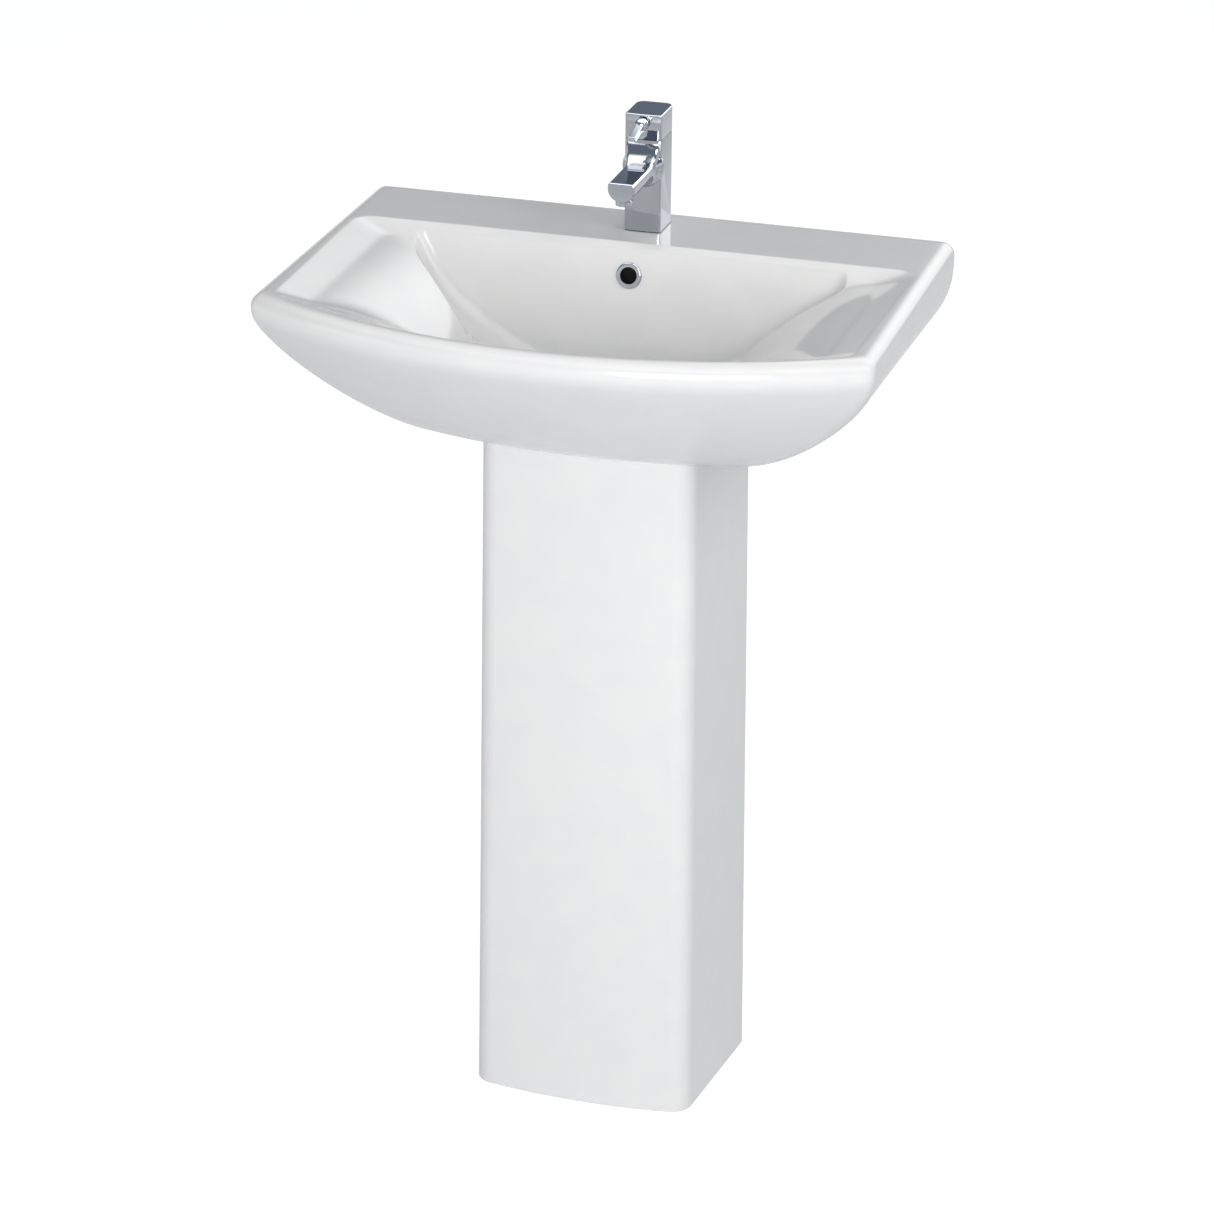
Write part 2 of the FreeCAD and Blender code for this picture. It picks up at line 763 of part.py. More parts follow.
def make_spout():
    """The spout with its flared root on the column."""
    half = spout_width / 2.0
    root_half = column_width / 2.0 - flare_inset
    root_top = seam_z - flare_inset
    root = loft([spout_section(column_front + flare_length * place, half + (root_half - half) * left,
                               spout_top_z + (root_top - spout_top_z) * left,
                               spout_low_z - flare_sag * left, spout_corner_r)
                 for place, left in flare_curve])
    start = column_front + flare_length
    straight = Part.Face(spout_section(start, half, spout_top_z, spout_low_z, spout_corner_r))
    straight = straight.extrude(Vector(0, start - spout_tip, 0))
    straight = straight.makeFillet(spout_tip_r, facing_edges(straight, wall_y - spout_tip))
    return root.fuse(straight)


def make_tap_body():
    base = rim_height + gasket_thick
    body = Part.Face(column_outline(base)).extrude(Vector(0, 0, seam_z - base)).fuse(make_spout())
    spigot_end = rim_height - spigot_depth
    body = body.fuse(upright(tap_hole_r - spigot_gap, spigot_end, base, 0, tap_y))

    # cartridge chamber, waterways and aerator socket
    body = body.cut(upright(chamber_r, chamber_z, seam_z + over, 0, tap_y))
    body = body.cut(upright(counterbore_r, shoulder_z - counterbore_relief, seam_z + over, 0, tap_y))
    low = spigot_end - over
    socket_top = rim_height + inlet_depth
    for x in (-tail_x, tail_x):
        body = body.cut(upright(tail_r + fit, low, socket_top, x, tap_y - tail_forward))
        body = body.cut(upright(tail_r - inlet_wall, socket_top - over, chamber_z + over,
                                x, tap_y - tail_forward))
    body = body.cut(upright(stud_r + fit, low, rim_height + stud_socket, 0, tap_y + stud_back))
    outlet_y = wall_y - spout_tip + aerator_back
    bore_z = spout_low_z + spout_height / 2.0
    body = body.cut(rod(spout_bore_r, Vector(0, tap_y, bore_z), Vector(0, outlet_y, bore_z)))
    body = body.cut(upright(spout_bore_r, spout_low_z, bore_z, 0, outlet_y))
    return body.cut(upright(aerator_r - aerator_step + fit, spout_low_z - aerator_drop,
                            spout_low_z + aerator_socket, 0, outlet_y))


# Aerator
aerator_y = wall_y - spout_tip + aerator_back
aerator_foot = spout_low_z - aerator_drop
aerator_top = spout_low_z + aerator_height
strainer_r = aerator_r - aerator_step - aerator_wall


def make_aerator_housing():
    rim_top = spout_low_z - aerator_seat
    shell = upright(aerator_r, aerator_foot, rim_top, 0, aerator_y)
    shell = shell.makeFillet(aerator_edge_r, level_edges(shell, aerator_foot))
    shell = shell.fuse(upright(aerator_r - aerator_step, rim_top, aerator_top, 0, aerator_y))
    shell = shell.cut(upright(strainer_r - aerator_lip_width, aerator_foot - over, aerator_top + over,
                              0, aerator_y))
    return shell.cut(upright(strainer_r, aerator_foot + aerator_lip, aerator_top + over, 0, aerator_y))


def make_aerator_insert():
    """Perforated strainer that rests on the housing's inner lip."""
    foot = aerator_foot + aerator_lip
    outer = strainer_r - fit
    inner = strainer_r - strainer_wall
    insert = turned([(0, foot), (outer, foot), (outer, aerator_top), (inner, aerator_top),
                     (inner, foot + strainer_wall), (0, foot + strainer_wall)], 0, aerator_y)
    for ring_radius, count in strainer_rings:
        for i in range(count):
            a = 2 * math.pi * i / count
            insert = insert.cut(upright(strainer_hole_r, foot - over, foot + strainer_wall + over,
                                        ring_radius * math.cos(a), aerator_y + ring_radius * math.sin(a)))
    return insert


def make_aerator_washer():
    outer = aerator_r - aerator_step
    return tube(outer, outer - aerator_washer_width, aerator_top, spout_low_z + aerator_socket, 0, aerator_y)


def make_base_gasket():
    sheet = Part.Face(column_outline(rim_height, gasket_inset)).extrude(Vector(0, 0, gasket_thick))
    return sheet.cut(upright(tap_hole_r - gasket_gap, rim_height - over, rim_height + gasket_thick + over,
                             0, tap_y))


# ---------------------------------------------------------------- cartridge
inlet_x = tail_x * inlet_share
neck_r = collar_r + neck_wall
neck_z = shoulder_z + cartridge_neck
collar_z = pivot_z + collar_rise


def make_cartridge():
    foot = chamber_z + seal_thick
    bore = collar_r + running
    housing = turned([(0, foot), (cartridge_r - cartridge_edge, foot), (cartridge_r, foot + cartridge_edge),
                      (cartridge_r, shoulder_z), (neck_r, shoulder_z), (neck_r, neck_z), (bore, neck_z),
                      (bore, neck_z - collar_depth), (0, neck_z - collar_depth)], 0, tap_y)
    for x in (-inlet_x, inlet_x):
        housing = housing.cut(upright(inlet_r, chamber_z, chamber_z + inlet_length, x, tap_y - tail_forward))
    # side port that feeds the spout
    port_z = spout_low_z + spout_height / 2.0
    return housing.cut(rod(port_r, Vector(0, tap_y, port_z), Vector(0, tap_y - cartridge_r - over, port_z)))


def make_cartridge_seals():
    """Two inlet seals under the cartridge."""
    return Part.makeCompound([tube(inlet_seal_r, inlet_seal_bore_r, chamber_z, chamber_z + seal_thick,
                                   x, tap_y - tail_forward) for x in (-inlet_x, inlet_x)])


def make_cartridge_nut():
    flange_top = shoulder_z + cartridge_nut_flange
    top = shoulder_z + cartridge_nut_height
    nut = upright(counterbore_r - fit, shoulder_z, flange_top, 0, tap_y)
    nut = nut.fuse(hexagon(cartridge_nut_flats, flange_top - over / 2.0, top, 0, tap_y))
    return nut.cut(upright(neck_r + fit, shoulder_z - over, top + over, 0, tap_y))


def make_cartridge_collar():
    """Turning collar: carries the lever's pivot and is gripped by the head."""
    collar = upright(collar_r, neck_z - collar_depth + moving_gap, collar_z, 0, tap_y)
    gap = blade_width / 2.0 + moving_gap
    collar = collar.cut(Part.makeBox(2 * gap, collar_r + over + fork_depth, collar_depth + fork_drop,
                                     Vector(-gap, tap_y - collar_r - over, pivot_z - fork_drop)))
    pivot = Vector(0, tap_y, pivot_z)
    across = Vector(collar_r + over, 0, 0)
    return collar.cut(rod(pin_r + fit, pivot - across, pivot + across))


def make_lever_pin():
    pivot = Vector(0, tap_y, pivot_z)
    half = Vector(math.sqrt(collar_r ** 2 - pin_r ** 2) - pin_inset, 0, 0)
    return rod(pin_r, pivot - half, pivot + half)


# ---------------------------------------------------------------- head and lever
front_y = wall_y - column_front
grub_z = collar_z - grub_drop


def make_tap_head():
    low = seam_z + seam
    top = seam_z + head_height
    ceiling = top - head_roof
    head = Part.Face(column_outline(low)).extrude(Vector(0, 0, top - low))
    head = head.makeFillet(head_edge_r, level_edges(head, top))
    head = head.cut(upright(counterbore_r + head_bore_gap, low - over, ceiling, 0, tap_y))
    # ring under the ceiling that grips the collar
    head = head.fuse(tube(collar_r + grip_wall, collar_r + fit, collar_z - grip_length, ceiling, 0, tap_y))
    # upright slot for the lever
    slot_low = pivot_z - blade_thick / 2.0 - slot_gap
    lift = math.tan(math.radians(lever_lift_deg)) * column_depth / 2.0
    slot_top = pivot_z + blade_thick / 2.0 + lift + slot_gap
    head = head.cut(Part.makeBox(slot_width, column_depth / 2.0 + 2 * over, slot_top - slot_low,
                                 Vector(-slot_width / 2.0, front_y - over, slot_low)))
    return head.cut(rod(grub_r + fit, Vector(0, tap_y + collar_r - over, grub_z),
                        Vector(0, tap_y + column_depth, grub_z)))


def make_grub_screw():
    back = tap_y + column_depth / 2.0 - grub_inset
    screw = rod(grub_r, Vector(0, tap_y + collar_r + grub_gap, grub_z), Vector(0, back, grub_z))
    key = polygon_face([Vector(x, back + over, grub_z + up) for x, up in hexagon_corners(key_flats)])
    return screw.cut(key.extrude(Vector(0, -over - key_depth, 0)))


def make_tap_lever():
    """Blade on the pivot pin, neck through the head's slot, round boss and flat handle."""
    half_thick = blade_thick / 2.0
    boss_y = front_y - lever_boss_gap
    blade = Part.makeBox(blade_width, tap_y - boss_y + blade_lap, blade_thick,
                         Vector(-blade_width / 2.0, boss_y - blade_lap, pivot_z - half_thick))
    eye = rod(eye_r, Vector(-blade_width / 2.0, tap_y, pivot_z), Vector(blade_width / 2.0, tap_y, pivot_z))
    lever = blade.fuse(eye)
    boss_start = Vector(0, boss_y, pivot_z + lever_boss_rise)
    boss_end = boss_start - Vector(0, lever_boss_length, 0)
    boss = rod(lever_boss_r, boss_start, boss_end)
    lever = lever.fuse(boss.makeFillet(lever_boss_edge_r, facing_edges(boss, boss_end.y)))
    end_y = front_y - lever_reach
    upper = boss_start.z + lever_thick / 2.0
    tip_low = upper - lever_drop - lever_thick + lever_taper
    start_y = boss_y - lever_boss_length / 2.0
    handle = polygon_face([Vector(-lever_width / 2.0, y, z) for y, z in (
        (start_y, upper), (end_y, upper - lever_drop), (end_y, tip_low), (start_y, upper - lever_thick))])
    handle = handle.extrude(Vector(lever_width, 0, 0))
    edges = facing_edges(handle, end_y)
    edges += [e for e in handle.Edges if e.BoundBox.YLength > lever_boss_length]
    lever = lever.fuse(handle.makeFillet(lever_edge_r, edges))
    across = Vector(lever_width, 0, 0)
    pivot = Vector(0, tap_y, pivot_z)
    return lever.cut(rod(pin_r + running, pivot - across, pivot + across))


# ---------------------------------------------------------------- tap fixing and tails
deck_under = rim_height - deck_thick
rubber_z = deck_under - rubber_thick
plate_z = rubber_z - plate_thick


def horseshoe(low, high, inset):
    plate = upright(horseshoe_r - inset, low, high, 0, tap_y)
    half = tail_x + tail_r + horseshoe_gap
    mouth_y = tap_y - tail_forward + horseshoe_back + mouth_r
    mouth = Part.makeBox(2 * half, 2 * horseshoe_r, high - low + 2 * over,
                         Vector(-half, mouth_y - 2 * horseshoe_r, low - over))
    shoulders = [e for e in mouth.Edges if e.BoundBox.ZLength > over and e.BoundBox.YMin > mouth_y - over]
    plate = plate.cut(mouth.makeFillet(mouth_r, shoulders))
    return plate.cut(upright(stud_r + stud_gap, low - over, high + over, 0, tap_y + stud_back))


def make_fixing_rubber():
    return horseshoe(rubber_z, deck_under, 0.0)


def make_fixing_plate():
    return horseshoe(plate_z, rubber_z, plate_inset)


def make_fixing_nut():
    nut = hexagon(nut_flats, plate_z - nut_height, plate_z, 0, tap_y + stud_back)
    return nut.cut(upright(stud_r + fit, plate_z - nut_height - over, plate_z + over, 0, tap_y + stud_back))


def make_fixing_stud():
    high = rim_height + stud_grip
    stud = upright(stud_r, high - stud_length, high, 0, tap_y + stud_back)
    return stud.makeChamfer(stud_edge, level_edges(stud, high - stud_length))


def tail_route(hand):
    """Corners of a supply tail: down from the tap, across into the pedestal and down."""
    top = rim_height - tail_top
    return [Vector(hand * tail_x, tap_y - tail_forward, top),
            Vector(hand * tail_x, tap_y - tail_forward, top - tail_straight),
            Vector(hand * tail_spread, wall_y - tail_setback, bottom_z - tail_level),
            Vector(hand * tail_spread, wall_y - tail_setback, tail_end)]


def bent_path(corners, radius):
    """Straight runs joined by tangent arcs."""
    edges = []
    start = corners[0]
    for before, here, after in zip(corners, corners[1:], corners[2:]):
        back = (before - here).normalize()
        ahead = (after - here).normalize()
        turn = math.pi - back.getAngle(ahead)
        reach = radius * math.tan(turn / 2.0)
        first = here + back * reach
        last = here + ahead * reach
        middle = here + (back + ahead).normalize() * (radius / math.cos(turn / 2.0) - radius)
        edges.append(line(start, first))
        edges.append(arc(first, middle, last))
        start = last
    edges.append(line(start, corners[-1]))
    return Part.Wire(edges)


def swept(path, radius):
    start = path.Vertexes[0].Point
    ahead = path.Edges[0].tangentAt(path.Edges[0].FirstParameter)
    circle = Part.Wire(Part.Circle(start, ahead, radius).toShape())
    return path.makePipeShell([circle], True, False)


def make_tail(hand):
    path = bent_path(tail_route(hand), tail_bend_r)
    pipe = swept(path, tail_r).cut(swept(path, tail_r - tail_wall))
    low = rim_height - tail_top
    shank = low + nose_shank
    groove = shank + nose_groove
    tip = groove + nose_groove
    tip_r = tail_r - nose_relief
    nose = turned([(tail_r - tail_wall, low), (tail_r, low), (tail_r, shank),
                   (tail_r - nose_groove_depth, shank), (tail_r - nose_groove_depth, groove),
                   (tip_r, groove), (tip_r, tip), (nose_bore_r, tip), (nose_bore_r, low)],
                  hand * tail_x, tap_y - tail_forward)
    return pipe.fuse(nose)


def make_tail_seals():
    """One O-ring in the groove of each tail's nose."""
    z = rim_height - tail_top + nose_shank + nose_groove / 2.0
    return Part.makeCompound([Part.makeTorus(tail_r - nose_seal_inset, nose_seal_r,
                                             Vector(hand * tail_x, tap_y - tail_forward, z))
                              for hand in (-1, 1)])


# ---------------------------------------------------------------- waste and plug
waste_seat_z = bowl_z - flange_recess       # china seat under the waste's flange
waste_flange_z = waste_seat_z + washer_top
waste_end_z = waste_flange_z - waste_length
washer_z = bottom_z - washer_bottom
slip_z = washer_z - slip_ring
clicker_z = bottom_z - clicker_length
plug_z = waste_flange_z + flange_height + moving_gap      # underside of the plug, plug down


def make_waste_top_washer():
    return tube(flange_r - washer_inset, waste_tube_r + washer_gap, waste_seat_z, waste_flange_z, 0, waste_y)


def make_waste_body():
    top = waste_flange_z + flange_height
    body = turned([(waste_bore_r, waste_end_z), (waste_tube_r, waste_end_z), (waste_tube_r, waste_flange_z),
                   (flange_r, waste_flange_z), (flange_r, waste_flange_z + flange_edge),
                   (flange_r - flange_bevel, top), (waste_bore_r + flange_lead, top),
                   (waste_bore_r, top - flange_lead_depth)], 0, waste_y)
    # windows that let the overflow in
    for i in range(4):
        window = Part.makeBox(2 * waste_tube_r, window_width, window_height,
                              Vector(0, -window_width / 2.0, bottom_z + window_rise))
        window.rotate(Vector(0, 0, 0), Vector(0, 0, 1), 45 + 90 * i)
        window.translate(Vector(0, waste_y, 0))
        body = body.cut(window)
    # spider that holds the click mechanism
    hub_z = bottom_z - hub_drop
    body = body.fuse(upright(clicker_r + hub_wall, hub_z, hub_z + hub_height, 0, waste_y))
    for i in range(3):
        arm = Part.makeBox(waste_bore_r + over, arm_width, arm_height, Vector(0, -arm_width / 2.0, hub_z))
        arm.rotate(Vector(0, 0, 0), Vector(0, 0, 1), 90 + 120 * i)
        arm.translate(Vector(0, waste_y, 0))
        body = body.fuse(arm)
    return body.cut(upright(clicker_r + fit, hub_z - over, hub_z + hub_height + over, 0, waste_y))


def make_plug_clicker():
    """Push-push sleeve: screws into the spider and carries the plug's stem."""
    r = clicker_r
    collar_top = bottom_z + clicker_flange_height
    top = waste_seat_z - clicker_top_drop
    floor = clicker_z + clicker_floor
    bore = stem_r + running
    return turned([(0, clicker_z), (r - clicker_edge, clicker_z), (r, clicker_z + clicker_edge),
                   (r, bottom_z), (r + clicker_flange, bottom_z), (r + clicker_flange, collar_top),
                   (r, collar_top), (r, top), (bore, top), (bore, floor), (0, floor)], 0, waste_y)


def make_waste_plug():
    top = plug_z + plug_thick
    low = clicker_z + clicker_floor + stem_foot
    spigot = plug_z - plug_spigot
    groove = plug_z - plug_groove
    foot_in, foot_up, side_in, side_up = plug_edge
    edge_in, edge_down, crown_in, crown_down = plug_crown
    return turned([(0, low), (stem_r, low), (stem_r, spigot), (plug_spigot_r, spigot),
                   (plug_spigot_r, groove), (plug_groove_r, groove), (plug_groove_r, plug_z),
                   (plug_r - foot_in, plug_z), (plug_r, plug_z + foot_up), (plug_r - side_in, plug_z + side_up),
                   (plug_r - edge_in, top - edge_down), (plug_r - crown_in, top - crown_down), (0, top)],
                  0, waste_y)


def make_plug_seal():
    return tube(plug_seal_r, plug_groove_r + plug_seal_gap, plug_z - plug_groove + plug_seal_inset,
                plug_z - plug_seal_inset, 0, waste_y)


def make_waste_bottom_washer():
    bore = waste_tube_r + fit
    cone_in, cone_down = washer_bottom_cone
    return turned([(bore, washer_z), (washer_bottom_r, washer_z), (washer_bottom_r, bottom_z - cone_down),
                   (washer_bottom_r - cone_in, bottom_z), (bore, bottom_z)], 0, waste_y)


def make_waste_slip_ring():
    return tube(slip_ring_r, waste_tube_r + fit, slip_z, washer_z, 0, waste_y)


def make_waste_backnut():
    low = slip_z - backnut_height
    nut = hexagon(backnut_flats, low, slip_z, 0, waste_y)
    return nut.cut(upright(waste_tube_r + fit, low - over, slip_z + over, 0, waste_y))


# ---------------------------------------------------------------- bottle trap
trap_z = waste_end_z - trap_top_drop        # top of the trap's housing
trap_shoulder_z = trap_z - trap_housing
outlet_z = trap_z - outlet_drop
outlet_y = waste_y + trap_r + outlet_length
trap_inner = trap_r - trap_wall
tube_seat = waste_tube_r - tube_seat_gap
spigot_r = pipe_r - pipe_spigot_step


def grip_ribs(shape, radius, low, high, count, centre, lying=False):
    """Shallow grooves round a plastic nut."""
    for i in range(count):
        groove = Part.makeCylinder(rib_r, high - low, Vector(radius + rib_out, 0, low))
        groove.rotate(Vector(0, 0, 0), Vector(0, 0, 1), 360.0 * i / count)
        if lying:
            groove.rotate(Vector(0, 0, 0), Vector(1, 0, 0), 90)
        groove.translate(centre)
        shape = shape.cut(groove)
    return shape


def make_trap_inlet_nut():
    low = waste_end_z - trap_nut_low
    top = waste_end_z + trap_nut_high
    bore = trap_neck_r + fit
    nut = turned([(bore, low), (trap_nut_r - trap_nut_edge, low), (trap_nut_r, low + trap_nut_edge),
                  (trap_nut_r, top), (waste_tube_r + fit, top), (waste_tube_r + fit, low + trap_nut_lip),
                  (bore, low + trap_nut_lip)], 0, waste_y)
    return grip_ribs(nut, trap_nut_r, low - over, top + over, nut_ribs, Vector(0, waste_y, 0))


def make_trap_inlet_washer():
    return tube(tube_seat, dip_tube_r + trap_washer_gap, waste_end_z - trap_washer, waste_end_z, 0, waste_y)


def make_trap_body():
    neck_top = waste_end_z - trap_washer
    collar_low = waste_end_z - trap_collar + fit
    roof = trap_z - trap_roof
    dip_end = trap_shoulder_z - dip_tube_end
    dip_bore = dip_tube_r - dip_tube_wall
    screw_r = trap_inner - fit
    bore = trap_inner - trap_wall
    housing = turned([
        (dip_bore, neck_top), (tube_seat, neck_top), (tube_seat, collar_low), (trap_neck_r, collar_low),
        (trap_neck_r, trap_z + trap_neck_foot), (trap_neck_r + trap_neck_foot, trap_z),
        (trap_r - trap_shoulder, trap_z), (trap_r, trap_z - trap_shoulder), (trap_r, trap_shoulder_z),
        (screw_r, trap_shoulder_z), (screw_r, trap_shoulder_z - trap_screw),
        (bore, trap_shoulder_z - trap_screw), (bore, roof - trap_roof_bevel), (bore - trap_roof_bevel, roof),
        (dip_tube_r, roof), (dip_tube_r, dip_end), (dip_bore, dip_end)], 0, waste_y)
    stub = rod(thread_r, Vector(0, waste_y + trap_r - outlet_lap, outlet_z), Vector(0, outlet_y, outlet_z))
    housing = housing.fuse(stub.cut(upright(trap_inner, trap_shoulder_z, trap_z, 0, waste_y)))
    way_out = Vector(0, waste_y + bore - over, outlet_z)
    housing = housing.cut(rod(pipe_r - pipe_wall, way_out, Vector(0, outlet_y, outlet_z)))
    return housing.cut(rod(spigot_r + fit, Vector(0, waste_y + trap_r + outlet_lap, outlet_z),
                           Vector(0, outlet_y + over, outlet_z)))


def make_trap_bottle():
    rim = trap_shoulder_z - trap_seal
    low = rim - bottle_height
    floor = low + bottle_floor
    grip_r = trap_r + bottle_grip
    grip_low = rim - bottle_grip_height
    well_r = trap_inner - bottle_well_r
    cup = turned([(0, low), (trap_r - bottle_foot, low), (trap_r - bottle_taper, low + bottle_foot),
                  (trap_r, grip_low - bottle_grip_foot), (grip_r, grip_low), (grip_r, rim), (trap_inner, rim),
                  (trap_inner, rim - bottle_well), (well_r, floor + bottle_floor_slope),
                  (well_r - bottle_floor_slope, floor), (0, floor)], 0, waste_y)
    return grip_ribs(cup, grip_r, grip_low, rim + over, bottle_ribs, Vector(0, waste_y, 0))


def make_trap_bottle_seal():
    return tube(trap_r - trap_seal_inset, trap_inner + fit, trap_shoulder_z - trap_seal, trap_shoulder_z,
                0, waste_y)


def along_outlet(profile):
    """Revolve a (radius, distance past the outlet's face) profile about the outlet's axis."""
    face = polygon_face([Vector(0, outlet_y + y, outlet_z + radius) for radius, y in profile])
    return face.revolve(Vector(0, 0, outlet_z), Vector(0, 1, 0), 360)


def make_trap_outlet_nut():
    thread = thread_r + fit
    pipe = spigot_r + fit
    cone_start, cone_end = outlet_cone
    nut = along_outlet([(thread, -outlet_nut_back), (trap_nut_r, -outlet_nut_back),
                        (trap_nut_r, outlet_nut_front - trap_nut_edge),
                        (trap_nut_r - trap_nut_edge, outlet_nut_front), (pipe, outlet_nut_front),
                        (pipe, cone_end), (thread, cone_start)])
    return grip_ribs(nut, trap_nut_r, -outlet_nut_front - over, outlet_nut_back + over, nut_ribs,
                     Vector(0, outlet_y, outlet_z), lying=True)


def make_trap_outlet_washer():
    rim, nose = outlet_washer
    pipe = spigot_r + fit
    outer = thread_r - tube_seat_gap
    return along_outlet([(pipe, 0.0), (outer, 0.0), (outer, rim), (pipe, nose)])


def make_waste_pipe():
    start = Vector(0, waste_y + trap_r + outlet_lap + pipe_end_gap, outlet_z)
    step = Vector(0, outlet_y + outlet_nut_front + pipe_shoulder, outlet_z)
    end = Vector(0, wall_y, outlet_z)
    past = Vector(0, over, 0)
    pipe = rod(spigot_r, start, step).fuse(rod(pipe_r, step, end))
    return pipe.cut(rod(pipe_r - pipe_wall, start - past, end + past))


# ---------------------------------------------------------------- build
pieces = {
    "basin": make_basin,
    "pedestal": make_pedestal,
    "overflow_ring": make_overflow_ring,
    "tap_body": make_tap_body,
    "tap_head": make_tap_head,
    "tap_lever": make_tap_lever,
    "lever_pin": make_lever_pin,
    "head_grub_screw": make_grub_screw,
    "cartridge": make_cartridge,
    "cartridge_collar": make_cartridge_collar,
    "cartridge_nut": make_cartridge_nut,
    "cartridge_seals": make_cartridge_seals,
    "aerator_housing": make_aerator_housing,
    "aerator_insert": make_aerator_insert,
    "aerator_washer": make_aerator_washer,
    "base_gasket": make_base_gasket,
    "fixing_stud": make_fixing_stud,
    "fixing_rubber": make_fixing_rubber,
    "fixing_plate": make_fixing_plate,
    "fixing_nut": make_fixing_nut,
    "hot_tail": lambda: make_tail(-1),
    "cold_tail": lambda: make_tail(1),
    "tail_seals": make_tail_seals,
    "waste_body": make_waste_body,
    "waste_top_washer": make_waste_top_washer,
    "waste_bottom_washer": make_waste_bottom_washer,
    "waste_slip_ring": make_waste_slip_ring,
    "waste_backnut": make_waste_backnut,
    "waste_plug": make_waste_plug,
    "plug_seal": make_plug_seal,
    "plug_clicker": make_plug_clicker,
    "trap_inlet_nut": make_trap_inlet_nut,
    "trap_inlet_washer": make_trap_inlet_washer,
    "trap_body": make_trap_body,
    "trap_bottle": make_trap_bottle,
    "trap_bottle_seal": make_trap_bottle_seal,
    "trap_outlet_nut": make_trap_outlet_nut,
    "trap_outlet_washer": make_trap_outlet_washer,
    "waste_pipe": make_waste_pipe,
}

for name, make in pieces.items():
    shape = make()
    if len(shape.Solids) == 1:
        shape = shape.Solids[0]
    shape.exportStep("parts/" + name + ".step")
    print(name, "valid" if shape.isValid() else "INVALID", len(shape.Solids), "solid",
          round(shape.Volume / 1000.0, 2), "cm3")
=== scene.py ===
"""Pedestal sink in glazed vitreous china with a chromed mixer tap."""

import json
import math

import bmesh
import bpy
import numpy as np
from mathutils import Matrix, Vector

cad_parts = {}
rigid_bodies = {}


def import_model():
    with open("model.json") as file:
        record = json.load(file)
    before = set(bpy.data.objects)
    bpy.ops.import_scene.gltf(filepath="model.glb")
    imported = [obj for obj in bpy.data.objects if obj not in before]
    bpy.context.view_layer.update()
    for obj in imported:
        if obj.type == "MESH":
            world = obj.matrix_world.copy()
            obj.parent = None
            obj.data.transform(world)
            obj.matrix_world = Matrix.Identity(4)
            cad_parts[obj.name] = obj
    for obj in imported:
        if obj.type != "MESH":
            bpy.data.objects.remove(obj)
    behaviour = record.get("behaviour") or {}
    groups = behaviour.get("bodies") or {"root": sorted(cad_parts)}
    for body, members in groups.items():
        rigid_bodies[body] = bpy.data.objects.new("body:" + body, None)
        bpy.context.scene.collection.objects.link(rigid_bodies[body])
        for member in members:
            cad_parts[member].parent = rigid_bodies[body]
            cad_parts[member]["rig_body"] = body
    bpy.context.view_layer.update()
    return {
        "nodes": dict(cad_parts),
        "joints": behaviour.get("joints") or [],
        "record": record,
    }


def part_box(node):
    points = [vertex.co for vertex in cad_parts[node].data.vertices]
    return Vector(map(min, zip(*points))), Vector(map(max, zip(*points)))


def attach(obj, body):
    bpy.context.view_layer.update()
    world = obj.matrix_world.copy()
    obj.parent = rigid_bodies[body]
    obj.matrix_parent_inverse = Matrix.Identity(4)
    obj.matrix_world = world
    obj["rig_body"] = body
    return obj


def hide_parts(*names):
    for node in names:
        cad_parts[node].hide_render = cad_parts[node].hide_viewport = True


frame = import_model()
nodes = frame["nodes"]

# ---------------------------------------------------------------- light levels
sky_level = 0.40                # the even light of the room
floor_glow = 0.75               # what lifts the pale floor to white where it is seen
gloss_glow = 0.5                # share of that lift which metal and glaze see
front_watts = 75.0
right_watts = 19.0
left_watts = 4.0
back_watts = 25.0
window_level = 3.0              # a window behind to the right, seen in gloss only
window_way = (0.38, 0.74, 0.56)
window_edge, window_heart = 0.77, 1.0   # cosines at which it starts to show and is full
white = (1, 1, 1, 1)
overhead = (2.2, 2.2, 2.2, 1)
# what metal and glaze mirror, by height: 0 is straight down, 0.5 the horizon, 1 straight up
room_shades = ((0.0, white), (0.53, white), (0.57, (0.16, 0.19, 0.24, 1)),
               (0.79, (0.20, 0.23, 0.28, 1)), (0.90, overhead))


def mm(value):
    """Millimetres as metres."""
    return value / 1000.0


def linear(hex_colour):
    """An sRGB hex colour as linear RGBA."""
    values = [int(hex_colour[i:i + 2], 16) / 255.0 for i in (1, 3, 5)]
    return [v / 12.92 if v <= 0.04045 else ((v + 0.055) / 1.055) ** 2.4 for v in values] + [1.0]


def add(tree, kind, settings=None, **inputs):
    """Add a node with its settings; an input that is a socket is linked, any other is set."""
    new = tree.nodes.new(kind)
    for name, value in (settings or {}).items():
        setattr(new, name, value)
    for name, value in inputs.items():
        key = int(name[1:]) if name[0] == "_" and name[1:].isdigit() else name.replace("_", " ")
        if isinstance(value, bpy.types.NodeSocket):
            tree.links.new(value, new.inputs[key])
        else:
            new.inputs[key].default_value = value
    return new


# ---------------------------------------------------------------- materials
def start_material(name):
    material = bpy.data.materials.new(name)
    material.use_nodes = True
    material.node_tree.nodes.clear()
    return material, material.node_tree


def close_material(material, tree, shader):
    add(tree, "ShaderNodeOutputMaterial", Surface=shader.outputs[0])
    return material


def per_mm(size):
    """A noise scale whose features measure size millimetres."""
    return 1.0 / mm(size)


def varied(tree, pattern, dark, light):
    """A colour that wanders between two near shades."""
    ramp = add(tree, "ShaderNodeValToRGB", Fac=pattern)
    ramp.color_ramp.elements[0].position = 0.35
    ramp.color_ramp.elements[0].color = linear(dark)
    ramp.color_ramp.elements[1].position = 0.65
    ramp.color_ramp.elements[1].color = linear(light)
    return ramp.outputs["Color"]


def spread(tree, pattern, low, high):
    """A roughness between two values, following a pattern."""
    return add(tree, "ShaderNodeMapRange", Value=pattern, To_Min=low, To_Max=high).outputs["Result"]


